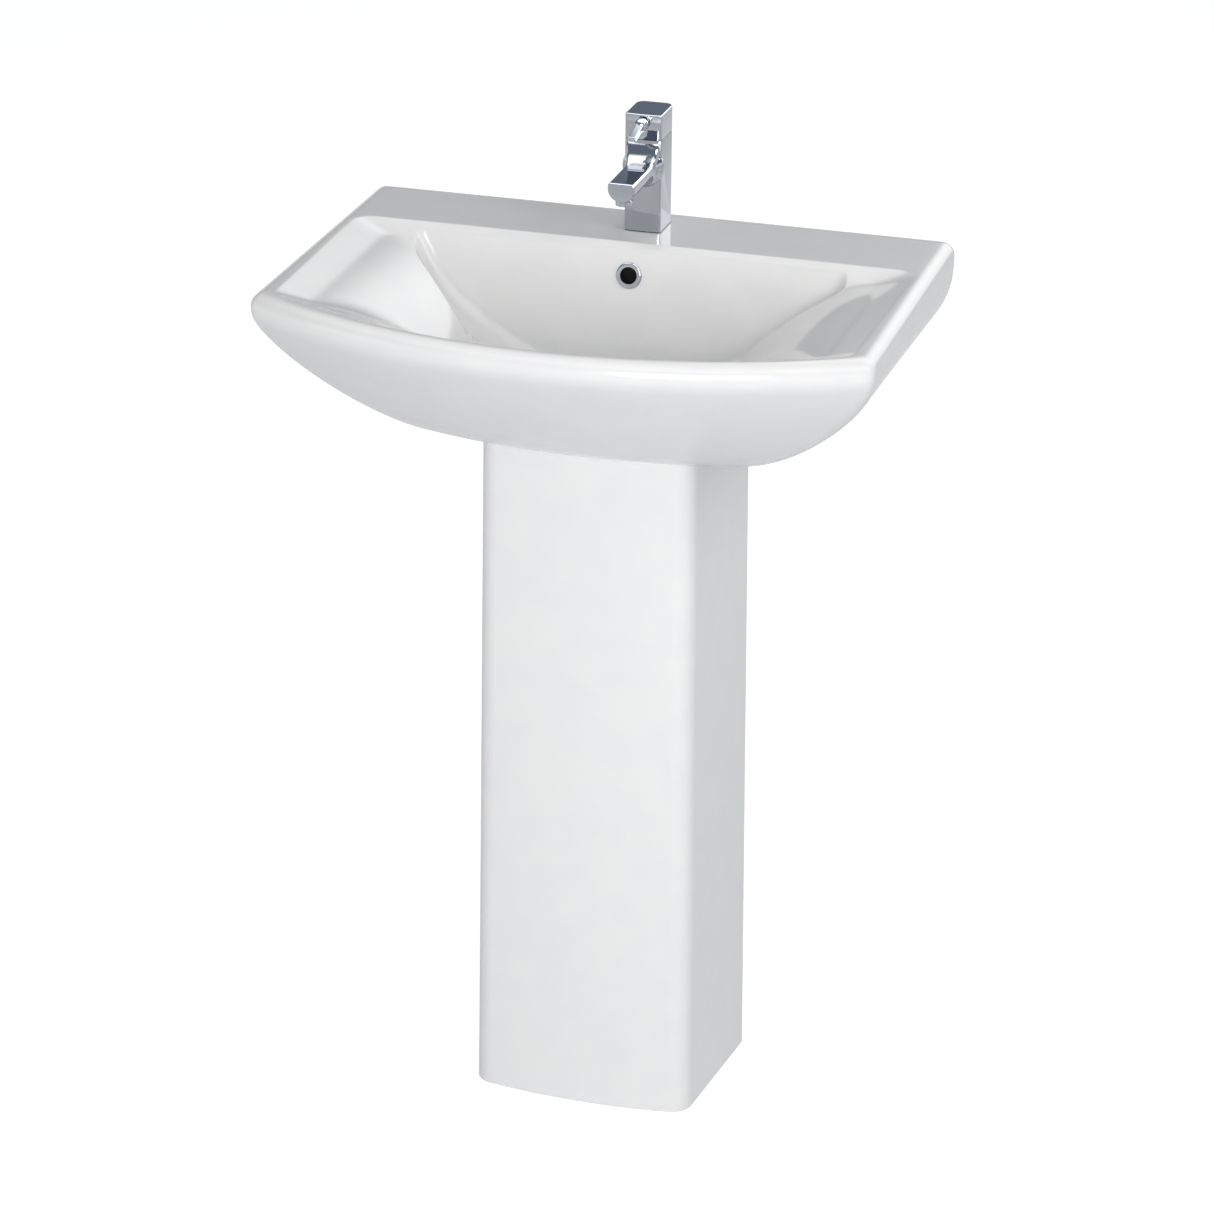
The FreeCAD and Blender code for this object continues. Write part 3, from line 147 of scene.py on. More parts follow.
def glazed_china():
    """Vitreous china, slip cast and fired under a clear white glaze.

    The glaze is glassy and deep.  It pools and thins over tens of millimetres, which bends
    reflections a little, and its skin has a finer ripple a few millimetres across.
    """
    material, tree = start_material("glazed_vitreous_china")
    place = add(tree, "ShaderNodeTexCoord").outputs["Object"]
    pooling = add(tree, "ShaderNodeTexNoise", Vector=place, Scale=per_mm(38), Detail=1.0)
    ripple = add(tree, "ShaderNodeTexNoise", Vector=place, Scale=per_mm(9), Detail=0.0)
    slow = add(tree, "ShaderNodeBump", Height=pooling.outputs["Fac"],
               Strength=0.14, Distance=mm(0.4))
    fine = add(tree, "ShaderNodeBump", Height=ripple.outputs["Fac"], Normal=slow.outputs[0],
               Strength=0.08, Distance=mm(0.1))
    colour = varied(tree, pooling.outputs["Fac"], "#F0F0F1", "#F2F2F1")
    roughness = spread(tree, ripple.outputs["Fac"], 0.08, 0.12)
    shader = add(tree, "ShaderNodeBsdfPrincipled", Base_Color=colour, Roughness=roughness, IOR=1.52,
                 Normal=fine.outputs[0])
    return close_material(material, tree, shader)


def chromed_brass():
    """Die-cast brass, polished and plated in bright chrome.

    A cool mirror; the hand polishing under the plate leaves a waviness of some 15 mm.
    """
    material, tree = start_material("bright_chrome_plate")
    place = add(tree, "ShaderNodeTexCoord").outputs["Object"]
    waves = add(tree, "ShaderNodeTexNoise", Vector=place, Scale=per_mm(15), Detail=1.0)
    bump = add(tree, "ShaderNodeBump", Height=waves.outputs["Fac"], Strength=0.12, Distance=mm(0.1))
    roughness = spread(tree, waves.outputs["Fac"], 0.03, 0.06)
    shader = add(tree, "ShaderNodeBsdfPrincipled", Base_Color=linear("#C1C5CB"), Metallic=1.0,
                 Roughness=roughness, Normal=bump.outputs[0])
    return close_material(material, tree, shader)


def turned_metal(name, dark, light, roughness, groove):
    """A turned or drawn metal: fine rings round its length that stretch the highlights."""
    material, tree = start_material(name)
    place = add(tree, "ShaderNodeTexCoord").outputs["Object"]
    rings = add(tree, "ShaderNodeTexWave", {"bands_direction": "Z"}, Vector=place,
                Scale=per_mm(groove) / 20.0, Distortion=0.6, Detail=1.0)
    tarnish = add(tree, "ShaderNodeTexNoise", Vector=place, Scale=per_mm(12), Detail=3.0)
    bump = add(tree, "ShaderNodeBump", Height=rings.outputs["Fac"],
               Strength=0.25, Distance=mm(0.05))
    shader = add(tree, "ShaderNodeBsdfPrincipled", Metallic=1.0, Normal=bump.outputs[0],
                 Base_Color=varied(tree, tarnish.outputs["Fac"], dark, light),
                 Roughness=spread(tree, tarnish.outputs["Fac"], roughness, roughness + 0.12))
    return close_material(material, tree, shader)


def moulded(name, dark, light, roughness, ior, grain, depth):
    """A moulded rubber, foam or plastic: a soft skin with the mould's fine grain."""
    material, tree = start_material(name)
    place = add(tree, "ShaderNodeTexCoord").outputs["Object"]
    skin = add(tree, "ShaderNodeTexNoise", Vector=place, Scale=per_mm(grain), Detail=2.0)
    shade = add(tree, "ShaderNodeTexNoise", Vector=place, Scale=per_mm(20), Detail=2.0)
    bump = add(tree, "ShaderNodeBump", Height=skin.outputs["Fac"], Strength=0.4, Distance=mm(depth))
    shader = add(tree, "ShaderNodeBsdfPrincipled", IOR=ior, Normal=bump.outputs[0],
                 Base_Color=varied(tree, shade.outputs["Fac"], dark, light),
                 Roughness=spread(tree, skin.outputs["Fac"], roughness, roughness + 0.1))
    return close_material(material, tree, shader)


finishes = {
    "vitreous_china": glazed_china(),
    "chrome": chromed_brass(),
    # 304 bar, turned and left bright: grey, with a faint satin
    "stainless_steel": turned_metal("turned_stainless_steel", "#B9B8B3", "#C6C5C1", 0.22, 0.8),
    # free-cutting brass off the lathe: warm yellow, slightly dulled where it was handled
    "brass": turned_metal("machined_brass", "#B4924F", "#CBA963", 0.24, 0.8),
    # drawn and bent copper tube: salmon pink, with browner patches
    "copper": turned_metal("drawn_copper_tube", "#B0694A", "#C98462", 0.26, 1.2),
    # moulded EPDM: near black, dull, with a bloom that lightens it
    "black_rubber": moulded("moulded_epdm_rubber", "#1D1D1D", "#282827", 0.55, 1.5, 1.0, 0.05),
    # skived closed-cell polyethylene foam: matt white, pitted with cells
    "white_foam": moulded("closed_cell_foam", "#DDDDDA", "#E8E8E5", 0.75, 1.45, 1.2, 0.2),
    # moulded acetal: waxy off-white
    "cartridge_plastic": moulded("moulded_acetal", "#D6D6D1", "#E0E0DC", 0.32, 1.48, 1.5, 0.03),
    # moulded mesh insert: translucent grey-blue plastic, seen as a cool pale grey
    "aerator_plastic": moulded("moulded_mesh_plastic", "#B6BBC0", "#C3C8CC", 0.3, 1.5, 1.0, 0.03),
    # injection-moulded polypropylene: clean white with a soft gloss
    "white_plastic": moulded("moulded_polypropylene", "#E6E6E4", "#EEEEEC", 0.24, 1.49, 2.0, 0.04),
}
made_of = {part["node"]: part["material_slot"] for part in frame["record"]["subparts"]}
for name, piece in nodes.items():
    piece.data.materials.clear()
    piece.data.materials.append(finishes[made_of[name]])

# ---------------------------------------------------------------- basin skin
# All in millimetres.  A distance is measured from the wall, a depth down from the rim.
wall_y = 220.0                  # the wall's place along the frame's front-to-back axis
waste_distance = 195.0          # the rings are centred on the waste
rim_height = 870.0
rim_band = 22.0                 # height of the upright band under the rim
basin_half = 300.0              # half the width
basin_side = 360.0              # length of the straight sides
basin_bow = 80.0                # how far the front bows out past them
plan_corner_r = 13.0
basin_bottom = 712.0
bottom_corner_r = 42.0
bowl_depth = 126.0
rim_soft = 13.0                 # rounding of the rim's outer edge
foot_soft = 3.0                 # rounding of the skirt's bottom edge
least_corner_r = 1.2
# The skirt draws in towards the bottom: how far, and the two powers of its curve.
side_draw = (141.0, 2.13, 1.2)
front_half_draw = (120.0, 1.44, 1.09)
length_draw = (111.5, 1.02, 1.45)
bow_draw = (53.0, 1.02, 1.45)
# How far the glaze skin lies inside the solid it is fitted to.
skin_inset = 0.5
wall_gap = 0.5
deck_sink = 0.02
facet_sink = 0.5
dish_sink = 0.75
dish_sink_run = 10.0            # depth over which the one sink passes into the other
floor_sink = 0.6
bowl_spread = 0.8
# Outlines: back half, front half, back, side, bow, back and front corner radius, back's bow.
lip_outline = (283.0, 277.0, 108.0, 351.5, 71.5, 20.0, 22.0, 1.0)
valley_outline = (250.0, 248.0, 121.0, 335.0, 68.0, 14.0, 16.0, 1.0)
valley_level = 11.0             # depth of the valley line
# Rows: the depth, then an outline without its back's bow.
dish_rows = (
    (11.0, 250.0, 248.0, 121.0, 335.0, 68.0, 14.0, 16.0),
    (20.034, 207.0, 216.0, 129.51, 321.98, 73.03, 20.0, 50.0),
    (39.942, 165.0, 178.0, 139.72, 305.04, 75.0, 30.0, 60.0),
    (70.056, 128.0, 142.0, 149.93, 287.96, 68.0, 35.0, 60.0),
    (100.044, 100.0, 113.0, 158.44, 265.0, 58.0, 35.0, 50.0),
    (121.968, 66.0, 76.0, 170.36, 239.94, 39.98, 30.0, 35.0))
bowl_rows = (
    (1.512, 223.0, 213.0, 113.23, 139.98, 112.0, 9.0, 22.0),
    (39.942, 205.0, 196.0, 121.0, 150.06, 106.01, 13.0, 24.0),
    (80.01, 165.0, 156.0, 130.99, 166.02, 92.0, 20.0, 28.0),
    (109.998, 112.0, 104.0, 142.02, 180.02, 69.97, 22.0, 30.0),
    (126.0, 70.0, 64.0, 158.0, 195.0, 45.97, 24.0, 30.0))
lip_melt = 0.6                  # softness of the ridge between deck and facets
valley_soft = 4.0               # reach of the valley line's rounding
edge_melt = 4.0                 # softness of the bowl's edge
edge_from = 8.0                 # below this depth the bowl's edge grows softer
melt_growth = 0.45
past_edge_slope = 4.0           # the bowl's side, carried on steeply above its edge
hub_r = 8.0                     # innermost ring, inside the waste hole
# How finely the skin is drawn.
ring_count = 88
profile_steps = 400
radial_steps = 1500
bearing_count = 121
fine_bearings = (57.0, 71.0, 118.9)     # where the corners lie, in degrees from the wall
fine_half, fine_step, least_step = 4.5, 0.4, 0.15
crease_passes = 12              # rounds of smoothing over the crease under the band
speck = 0.002                   # points and edges closer than this are joined


def reworked(mesh, *jobs):
    """Run bmesh jobs on a mesh."""
    work = bmesh.new()
    work.from_mesh(mesh)
    for job in jobs:
        job(work)
    work.to_mesh(mesh)
    work.free()


def merged(reach):
    """A job that joins points which lie within some millimetres of each other."""
    return lambda work: bmesh.ops.remove_doubles(work, verts=work.verts, dist=mm(reach))


def applied(obj):
    """Swap an object's mesh for the one that its modifiers make."""
    depsgraph = bpy.context.evaluated_depsgraph_get()
    made = bpy.data.meshes.new_from_object(obj.evaluated_get(depsgraph))
    obj.modifiers.clear()
    obj.data = made


def shaded(mesh, sharp, finish):
    """Smooth shading with edges kept sharp from an angle in degrees, and one material."""
    mesh.polygons.foreach_set("use_smooth", [True] * len(mesh.polygons))
    mesh.set_sharp_from_angle(angle=math.radians(sharp))
    mesh.materials.clear()
    mesh.materials.append(finish)


def in_scene(name, data):
    """A new object for a mesh, lamp or camera, linked to the scene."""
    obj = bpy.data.objects.new(name, data)
    bpy.context.scene.collection.objects.link(obj)
    return obj


def arc_run(start, middle, end, count):
    """Points along the arc through three points."""
    (ax, ay), (bx, by), (cx, cy) = start, middle, end
    d = 2.0 * (ax * (by - cy) + bx * (cy - ay) + cx * (ay - by))
    aa, bb, cc = ax * ax + ay * ay, bx * bx + by * by, cx * cx + cy * cy
    ux = (aa * (by - cy) + bb * (cy - ay) + cc * (ay - by)) / d
    uy = (aa * (cx - bx) + bb * (ax - cx) + cc * (bx - ax)) / d
    first = math.atan2(ay - uy, ax - ux)
    turn = (math.atan2(cy - uy, cx - ux) - first + math.pi) % (2 * math.pi) - math.pi
    angles = first + turn * np.linspace(0.0, 1.0, count)
    radius = math.hypot(ax - ux, ay - uy)
    return np.column_stack((ux + radius * np.cos(angles), uy + radius * np.sin(angles)))


def rounded_corner(far, near, bow, radius):
    """Start, middle and end of the arc that joins a straight side to a bowed end."""
    outward = 1 if near[1] > far[1] else -1
    big = (near[0] ** 2 + bow ** 2) / (2 * bow)
    middle = near[1] + outward * (bow - big)
    length = math.hypot(near[0] - far[0], near[1] - far[1])
    along = ((near[0] - far[0]) / length, (near[1] - far[1]) / length)
    normal = (-along[1], along[0]) if along[1] > 0 else (along[1], -along[0])
    px = far[0] + normal[0] * radius
    pd = far[1] + normal[1] * radius - middle
    half = px * along[0] + pd * along[1]
    reach = -half + math.sqrt(half * half - (px * px + pd * pd - (big - radius) ** 2))
    cx = px + along[0] * reach
    cd = pd + along[1] * reach
    out = (cx / math.hypot(cx, cd), cd / math.hypot(cx, cd))
    split = (out[0] - normal[0], out[1] - normal[1])
    scale = radius / math.hypot(*split)
    cd += middle
    return ((cx - normal[0] * radius, cd - normal[1] * radius),
            (cx + split[0] * scale, cd + split[1] * scale),
            (cx + out[0] * radius, cd + out[1] * radius))


def radii(bearings, back_half, front_half, back, side, bow, back_r, front_r, back_bow=1.0):
    """Radius of a level outline about the waste, for each bearing from the wall."""
    front = rounded_corner((back_half, back), (front_half, side), bow, front_r)
    rear = rounded_corner((front_half, side), (back_half, back), back_bow, back_r)
    other_rear = (-rear[2][0], rear[2][1])
    other_front = (-front[2][0], front[2][1])
    # each bowed end is drawn whole and the half on this side kept
    back_run = arc_run(other_rear, (0.0, back - back_bow), rear[2], 601)[300:]
    front_run = arc_run(front[2], (0.0, side + bow), other_front, 801)[:401]
    side_run = np.linspace(rear[0], front[0], 400)
    points = np.concatenate((back_run, arc_run(rear[2], rear[1], rear[0], 60)[1:], side_run[1:],
                             arc_run(front[0], front[1], front[2], 60)[1:], front_run[1:]))
    across, ahead = np.abs(points[:, 0]), waste_distance - points[:, 1]
    return np.interp(bearings, np.arctan2(across, ahead), np.hypot(across, ahead))


def skirt_row(step, inset):
    """The skirt's outline at a share of its height: 0 under the band, 1 at the bottom."""
    def drawn(draw, rise, fall):
        return draw * (1 - (1 - step ** rise) ** (1 / fall))

    corner_r = plan_corner_r + (bottom_corner_r - plan_corner_r) * step
    return (basin_half - inset - drawn(*side_draw), basin_half - inset - drawn(*front_half_draw),
            inset + wall_gap, basin_side - drawn(*length_draw) - inset,
            basin_bow - drawn(*bow_draw), plan_corner_r - inset, corner_r - inset, 0.5)


def through(knots, values, at):
    """A smooth cubic through rows of values."""
    h = np.diff(knots)
    n = len(knots)
    system = np.eye(n)
    right = np.zeros(values.shape)
    for k in range(1, n - 1):
        system[k, k - 1:k + 2] = h[k - 1], 2 * (h[k - 1] + h[k]), h[k]
        rise_after = (values[k + 1] - values[k]) / h[k]
        rise_before = (values[k] - values[k - 1]) / h[k - 1]
        right[k] = 6 * (rise_after - rise_before)
    system[0, :3] = h[1], -(h[0] + h[1]), h[0]
    system[-1, -3:] = h[-1], -(h[-2] + h[-1]), h[-2]
    bend = np.linalg.solve(system, right)
    i = np.clip(np.searchsorted(knots, at) - 1, 0, n - 2)
    shape = (-1,) + (1,) * (values.ndim - 1)
    a = ((knots[i + 1] - at) / h[i]).reshape(shape)
    b = 1 - a
    square = (h[i] ** 2 / 6).reshape(shape)
    return (a * values[i] + b * values[i + 1]
            + ((a ** 3 - a) * bend[i] + (b ** 3 - b) * bend[i + 1]) * square)


def melt(a, b, soft):
    """The higher of two depths, with the ridge between them rounded."""
    near = np.maximum(soft - np.abs(a - b), 0.0) / soft
    return np.maximum(a, b) + near * near * soft * 0.25


def hollow_profile(rows, bearings, spread, sink):
    """Radius per bearing and depth, at many steps down a hollow's side."""
    outlines = np.array([radii(bearings, *row[1:]) for row in rows]) + spread
    depths = np.array([row[0] for row in rows])
    gaps = np.hypot(np.diff(depths)[:, None], np.diff(outlines, axis=0)).mean(axis=1)
    knots = np.concatenate(([0.0], np.cumsum(gaps)))
    at = np.linspace(0.0, knots[-1], profile_steps)
    return through(knots, outlines, at), through(knots, depths, at) + sink


def sunk_top(bearings, start_r):
    """Rings over the deck, facets, dish and bowl: radii and depths, ring by ring."""
    lip = radii(bearings, *lip_outline)
    valley = radii(bearings, *valley_outline)
    dish_r, dish_depth = hollow_profile(dish_rows, bearings, 0.0, 0.0)
    bowl_r, bowl_down = hollow_profile(bowl_rows, bearings, bowl_spread, floor_sink)
    floor_depth = bowl_depth + floor_sink
    bowl_down = np.minimum(bowl_down, floor_depth)
    steps = np.linspace(0.0, 1.0, radial_steps)
    rings = np.empty((ring_count, len(bearings), 2))
    for i in range(len(bearings)):
        r = start_r[i] + (hub_r - start_r[i]) * steps
        facet = valley_level * (lip[i] - r) / (lip[i] - valley[i]) + facet_sink
        dish = np.interp(r, dish_r[::-1, i], dish_depth[::-1])
        past_valley = np.clip((dish - valley_level) / dish_sink_run, 0.0, 1.0)
        dish += facet_sink + (dish_sink - facet_sink) * past_valley
        fall = np.where(r > valley[i], facet, dish)
        span = int(valley_soft / (r[0] - r[1]))
        evenly = np.full(2 * span + 1, 1.0 / (2 * span + 1))
        for _ in range(2):
            fall = np.convolve(np.pad(fall, span, "edge"), evenly, "valid")
        depth = melt(np.full(len(r), deck_sink), fall, lip_melt)
        bowl_edge = bowl_r[0, i]
        bowl = np.interp(r, bowl_r[::-1, i], bowl_down[::-1])
        bowl = np.where(r > bowl_edge, bowl_down[0] - (r - bowl_edge) * past_edge_slope, bowl)
        soft = edge_melt + np.clip(depth - edge_from, 0.0, None) * melt_growth
        depth = np.minimum(melt(depth, bowl, soft), floor_depth)
        run = np.concatenate(([0.0], np.cumsum(np.hypot(np.diff(r), np.diff(depth)))))
        # the rings crowd together where the surface turns: place, width and weight of each turn
        crowd = np.full(len(r), 0.16)
        for place, width, weight in (
                (lip[i], 8.0, 0.8), (valley[i], 8.0, 0.45), (dish_r[0, i], 6.0, 0.3),
                (bowl_edge - 1.5, 4.0, 1.6), (bowl_r[-1, i], 8.0, 0.4)):
            there = np.interp(place, r[::-1], run[::-1])
            crowd += weight * np.exp(-((run - there) / width) ** 2)
        share = np.concatenate(([0.0], np.cumsum(0.5 * (crowd[1:] + crowd[:-1]) * np.diff(run))))
        at = np.interp(np.linspace(0.0, 1.0, ring_count), share / share[-1], run)
        rings[:, i, 0] = np.interp(at, run, r)
        rings[:, i, 1] = np.interp(at, run, depth)
    return rings


def skin_solid():
    """The basin's outside and sunk top as one closed solid, ring by ring about the waste."""
    spans = [np.linspace(0.0, 180.0, bearing_count)]
    spans += [np.arange(middle - fine_half, middle + fine_half, fine_step)
              for middle in fine_bearings]
    bearings = np.unique(np.concatenate(spans).round(3))
    bearings = np.radians(bearings[np.concatenate(([True], np.diff(bearings) > least_step))])
    bearings[0], bearings[-1] = 0.0, math.pi
    rings = []

    def level(row, depth, inset=0.0):
        back_half, front_half, back, side, bow, back_r, front_r, back_bow = row
        outline = radii(bearings, back_half - inset, front_half - inset, back + inset,
                        side - inset, bow, max(back_r - inset, least_corner_r),
                        max(front_r - inset, least_corner_r), back_bow)
        rings.append(np.column_stack((outline, np.full(len(bearings), depth))))

    # up the outside: rounded foot, skirt, crease, band and rounded rim
    foot = skirt_row(1.0, skin_inset)
    bottom = rim_height - basin_bottom - skin_inset
    for turn in np.radians((90.0, 60.0, 30.0)):
        level(foot, bottom - foot_soft * (1 - math.sin(turn)), foot_soft * (1 - math.cos(turn)))
    skirt_height = rim_height - rim_band - basin_bottom
    climb = np.concatenate((np.linspace(0.022, 0.86, 24), np.linspace(0.88, 1.0, 8)))
    for step in 1.0 - climb:
        level(skirt_row(step, skin_inset), rim_band + skirt_height * step)
    crease = len(rings) - 1
    edge = (basin_half - skin_inset, basin_half - skin_inset, skin_inset + wall_gap,
            basin_side - skin_inset, basin_bow, plan_corner_r, plan_corner_r, 0.5)
    for depth in (20.0, 18.0, 16.0):
        level(edge, depth)
    for turn in np.radians(np.linspace(0.0, 90.0, 10)):
        level(edge, rim_soft - (rim_soft - deck_sink) * math.sin(turn),
              rim_soft * (1 - math.cos(turn)))
    outside = np.array(rings)
    low, high = crease - 6, crease + 4
    for _ in range(crease_passes):
        middle = outside[low:high, :, 0]
        between = 0.5 * (outside[low - 1:high - 1, :, 0] + outside[low + 1:high + 1, :, 0])
        outside[low:high, :, 0] = middle + 0.5 * (between - middle)

    # then over the rim and down into the bowl
    inside = sunk_top(bearings, outside[-1][:, 0])
    grid = np.concatenate((outside, inside[1:]))
    radius, depth = grid[:, :, 0], grid[:, :, 1]
    across = radius * np.sin(bearings)
    ahead = radius * np.cos(bearings) + wall_y - waste_distance
    half = np.stack((across, ahead, rim_height - depth), axis=2)
    other = half[:, -2:0:-1].copy()
    other[:, :, 0] *= -1
    points = mm(np.concatenate((half, other), axis=1))
    count, around = points.shape[:2]
    corners = np.arange(count * around).reshape(count, around)
    a, b = corners[:-1], corners[1:]
    quads = np.stack((a, b, np.roll(b, -1, axis=1), np.roll(a, -1, axis=1)), axis=2).reshape(-1, 4)
    faces = quads.tolist() + [corners[0].tolist(), corners[-1][::-1].tolist()]
    mesh = bpy.data.meshes.new("basin_skin")
    mesh.from_pydata(points.reshape(-1, 3).tolist(), [], faces)
    return mesh


def fitted_basin(name, cad_node):
    """The skin solid cut with the basin's own hollow, holes and seats."""
    hollowed = in_scene("basin_solid", cad_node.data.copy())
    skin = in_scene(name, skin_solid())
    reworked(hollowed.data, merged(0.001))
    cut = skin.modifiers.new("hollow", "BOOLEAN")
    cut.operation = "INTERSECT"
    cut.solver = "EXACT"
    cut.object = hollowed
    applied(skin)
    bpy.data.objects.remove(hollowed)
    reworked(skin.data, merged(speck), lambda work: bmesh.ops.dissolve_degenerate(
        work, edges=work.edges, dist=mm(speck)))
    shaded(skin.data, 35.0, finishes["vitreous_china"])
    return skin


basin = fitted_basin("glazed_basin", nodes["basin"])
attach(basin, "sink")
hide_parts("basin")

# The overflow's duct, behind the bowl's leaning back; its inside is given a painted shade.
duct_half = 16.0
duct_depths = (20.0, 75.0)
duct_behind = (4.0, 22.0)       # how far behind the bowl's back
bowl_back, bowl_lean = 113.0, 0.2


def paint_duct_shade(obj, dark):
    """Paint the inside of the overflow's duct dark: painted shade that stands for the shadow deep
    in the duct.
    """
    obj.data.materials.append(dark)
    for face in obj.data.polygons:
        x, y, z = face.center * 1000.0
        down, distance = rim_height - z, wall_y - y
        behind = bowl_back + bowl_lean * down - distance
        if (abs(x) < duct_half and duct_depths[0] < down < duct_depths[1]
                and duct_behind[0] < behind < duct_behind[1]):
            face.material_index = 1


# painted shade: a near black matt surface on the duct's inside stands for the shadow deep in the
# duct
paint_duct_shade(basin, moulded("painted_duct_shade", "#1B1918", "#26231F", 0.8, 1.5, 1.5, 0.1))


def softened(node, width):
    """A plated casting with its edges eased, as polishing leaves them."""
    obj = in_scene(node + "_polished", nodes[node].data.copy())
    reworked(obj.data, merged(speck), lambda work: bmesh.ops.dissolve_limit(
        work, angle_limit=math.radians(0.6), verts=work.verts, edges=work.edges))
    ease = obj.modifiers.new("eased_edges", "BEVEL")
    ease.width = mm(width)
    ease.segments = 3
    ease.limit_method = "ANGLE"
    ease.angle_limit = math.radians(28.0)
    ease.use_clamp_overlap = True
    applied(obj)
    shaded(obj.data, 40.0, finishes[made_of[node]])
    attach(obj, nodes[node]["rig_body"])
    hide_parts(node)


# how wide each plated piece's eased edges are, in millimetres
eased_edges = {"tap_body": 0.6, "tap_head": 0.6, "tap_lever": 0.6, "waste_plug": 0.3}
for node, width in eased_edges.items():
    softened(node, width)

# The lever's boss, in millimetres: its gap from the head's face, its height over the hinge,
# and its turned profile as way forward and radius.
dome_gap = 3.2
dome_rise = 3.0
dome_corners = 48
dome_profile = ((0.0, 5.4), (0.3, 6.1), (0.9, 6.6), (1.8, 6.8), (4.5, 6.8), (6.0, 6.6), (7.2, 6.1),
                (8.2, 5.2), (9.0, 4.0), (9.5, 2.6), (9.7, 1.2))


def lever_dome():
    """The round boss that the lever's bar grows out of, turned about the front-to-back axis."""
    head_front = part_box("tap_head")[0].y
    pivot_z = next(j["pos_m"][2] for j in frame["joints"] if j["name"] == "lever_lift")
    count = dome_corners
    points, faces = [], []
    for along, radius in dome_profile:
        for step in range(count):
            turn = 2 * math.pi * step / count
            points.append((mm(radius) * math.cos(turn), head_front - mm(dome_gap + along),
                           pivot_z + mm(dome_rise) + mm(radius) * math.sin(turn)))
    for ring in range(len(dome_profile) - 1):
        for step in range(count):
            a, b = ring * count + step, ring * count + (step + 1) % count
            faces.append((a, b, b + count, a + count))
    faces += [tuple(range(count))[::-1], tuple(range(len(points) - count, len(points)))]
    mesh = bpy.data.meshes.new("lever_dome")
    mesh.from_pydata(points, [], faces)
    reworked(mesh, lambda work: bmesh.ops.recalc_face_normals(work, faces=work.faces))
    mesh.polygons.foreach_set("use_smooth", [True] * len(mesh.polygons))
    mesh.materials.append(finishes["chrome"])
    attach(in_scene("lever_dome", mesh), nodes["tap_lever"]["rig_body"])


lever_dome()

# ---------------------------------------------------------------- stage, light and camera
def seen_and_mirrored(tree):
    """Two sockets: 1 for what the camera sees, and 1 for what a mirror or a glass shows."""
    rays = add(tree, "ShaderNodeLightPath").outputs
    mirrored = add(tree, "ShaderNodeMath", {"operation": "MAXIMUM"}, _0=rays["Is Glossy Ray"],
                   _1=rays["Is Transmission Ray"])
    return rays["Is Camera Ray"], mirrored.outputs[0]


reach = 30                      # half the floor's side, in metres
floor_corners = [(-reach, -reach, 0), (reach, -reach, 0), (reach, reach, 0), (-reach, reach, 0)]
floor_mesh = bpy.data.meshes.new("floor")
floor_mesh.from_pydata(floor_corners, [], [(0, 1, 2, 3)])
floor = in_scene("floor", floor_mesh)
# White paper: pale where light falls on it, so that it takes a shadow, and lifted to white.
material, tree = start_material("white_studio_floor")
seen, mirrored = seen_and_mirrored(tree)
dimmed = add(tree, "ShaderNodeMath", {"operation": "MULTIPLY"}, _0=mirrored, _1=gloss_glow)
shown = add(tree, "ShaderNodeMath", {"operation": "MAXIMUM"}, _0=seen, _1=dimmed.outputs[0])
paper = add(tree, "ShaderNodeBsdfDiffuse", Color=linear("#BCBEC2"))
glow = add(tree, "ShaderNodeEmission", Color=white, Strength=floor_glow)
whitened = add(tree, "ShaderNodeAddShader", _0=paper.outputs[0], _1=glow.outputs[0])
sheet = add(tree, "ShaderNodeMixShader", _0=shown.outputs[0], _1=paper.outputs[0],
            _2=whitened.outputs[0])
floor_mesh.materials.append(close_material(material, tree, sheet))

# The world: an even pale room for light, white to the camera.  Metal and glaze see white up
# to the horizon, a slate ceiling above it, a bright patch overhead and a window.
world = bpy.data.worlds.new("studio")
bpy.context.scene.world = world
world.use_nodes = True
tree = world.node_tree
tree.nodes.clear()
way = add(tree, "ShaderNodeTexCoord").outputs["Generated"]
height = add(tree, "ShaderNodeSeparateXYZ", Vector=way).outputs["Z"]
share = add(tree, "ShaderNodeMath", {"operation": "MULTIPLY_ADD"}, _0=height, _1=0.5, _2=0.5)
room = add(tree, "ShaderNodeValToRGB", Fac=share.outputs[0])
stops = room.color_ramp.elements
for index, (position, shade) in enumerate(room_shades):
    stop = stops[index] if index < len(stops) else stops.new(position)
    stop.position, stop.color = position, shade
toward = add(tree, "ShaderNodeVectorMath", {"operation": "DOT_PRODUCT"}, _0=way, _1=window_way)
window = add(tree, "ShaderNodeMapRange", {"interpolation_type": "SMOOTHSTEP"},
             Value=toward.outputs["Value"], From_Min=window_edge, From_Max=window_heart,
             To_Min=0.0, To_Max=window_level)
seen, mirrored = seen_and_mirrored(tree)
even = add(tree, "ShaderNodeBackground", Color=white, Strength=sky_level)
around = add(tree, "ShaderNodeBackground", Color=room.outputs[0], Strength=1.0)
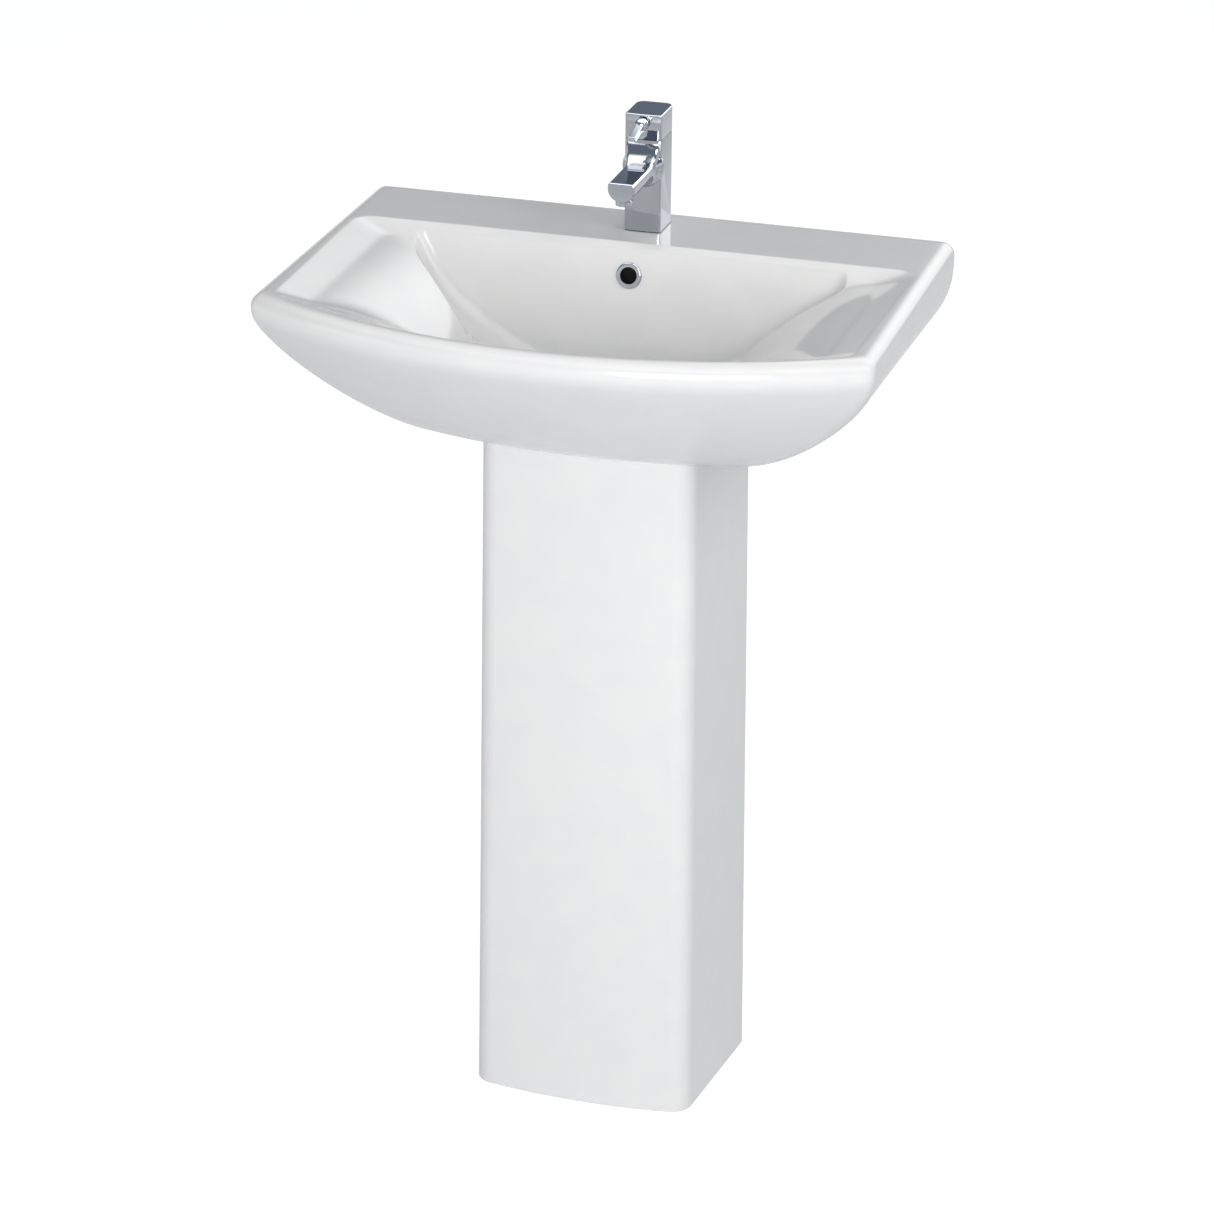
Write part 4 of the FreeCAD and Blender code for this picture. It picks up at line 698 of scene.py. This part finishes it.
pane = add(tree, "ShaderNodeBackground", Color=white, Strength=window.outputs["Result"])
reflected = add(tree, "ShaderNodeAddShader", _0=around.outputs[0], _1=pane.outputs[0])
backdrop = add(tree, "ShaderNodeBackground", Color=white, Strength=1.0)
bounced = add(tree, "ShaderNodeMixShader", _0=mirrored, _1=even.outputs[0], _2=reflected.outputs[0])
mix = add(tree, "ShaderNodeMixShader", _0=seen, _1=bounced.outputs[0], _2=backdrop.outputs[0])
add(tree, "ShaderNodeOutputWorld", Surface=mix.outputs[0])


def softbox(name, place, aim, size, watts):
    """A studio softbox that faces a point."""
    lamp = bpy.data.lights.new(name, "AREA")
    lamp.shape = "RECTANGLE"
    lamp.size, lamp.size_y = size
    lamp.energy = watts
    holder = in_scene(name, lamp)
    holder.location = place
    holder.rotation_euler = (Vector(aim) - Vector(place)).to_track_quat("-Z", "Y").to_euler()
    return holder


centre = (0.0, 0.0, 0.6)        # what the softboxes are turned to
softbox("front_box", (0.9, -3.5, 1.35), centre, (1.8, 1.8), front_watts)
softbox("left_box", (-2.8, -2.2, 1.4), centre, (1.2, 1.8), left_watts)
softbox("back_box", (0.7, 3.2, 2.7), centre, (2.4, 1.6), back_watts).visible_glossy = False
softbox("right_box", (2.7, -0.7, 2.8), centre, (1.2, 1.8), right_watts)

# A long lens, above the rim and to the right of the middle, with a slight roll.
camera = bpy.data.cameras.new("camera")
camera.lens = 112.2
camera.sensor_width = 36.0
camera_holder = in_scene("camera", camera)
eye = Vector((0.974, -3.247, 2.050))
target = Vector((-0.0546, 0.22, 0.4288))
back = (eye - target).normalized()
right = Vector((0, 0, 1)).cross(back).normalized()
up = back.cross(right)
roll = math.radians(-0.432)
across = right * math.cos(roll) - up * math.sin(roll)
upward = right * math.sin(roll) + up * math.cos(roll)
camera_holder.matrix_world = Matrix((
    (across.x, upward.x, back.x, eye.x), (across.y, upward.y, back.y, eye.y),
    (across.z, upward.z, back.z, eye.z), (0, 0, 0, 1)))
bpy.context.scene.camera = camera_holder
bpy.context.scene.view_settings.view_transform = "Standard"
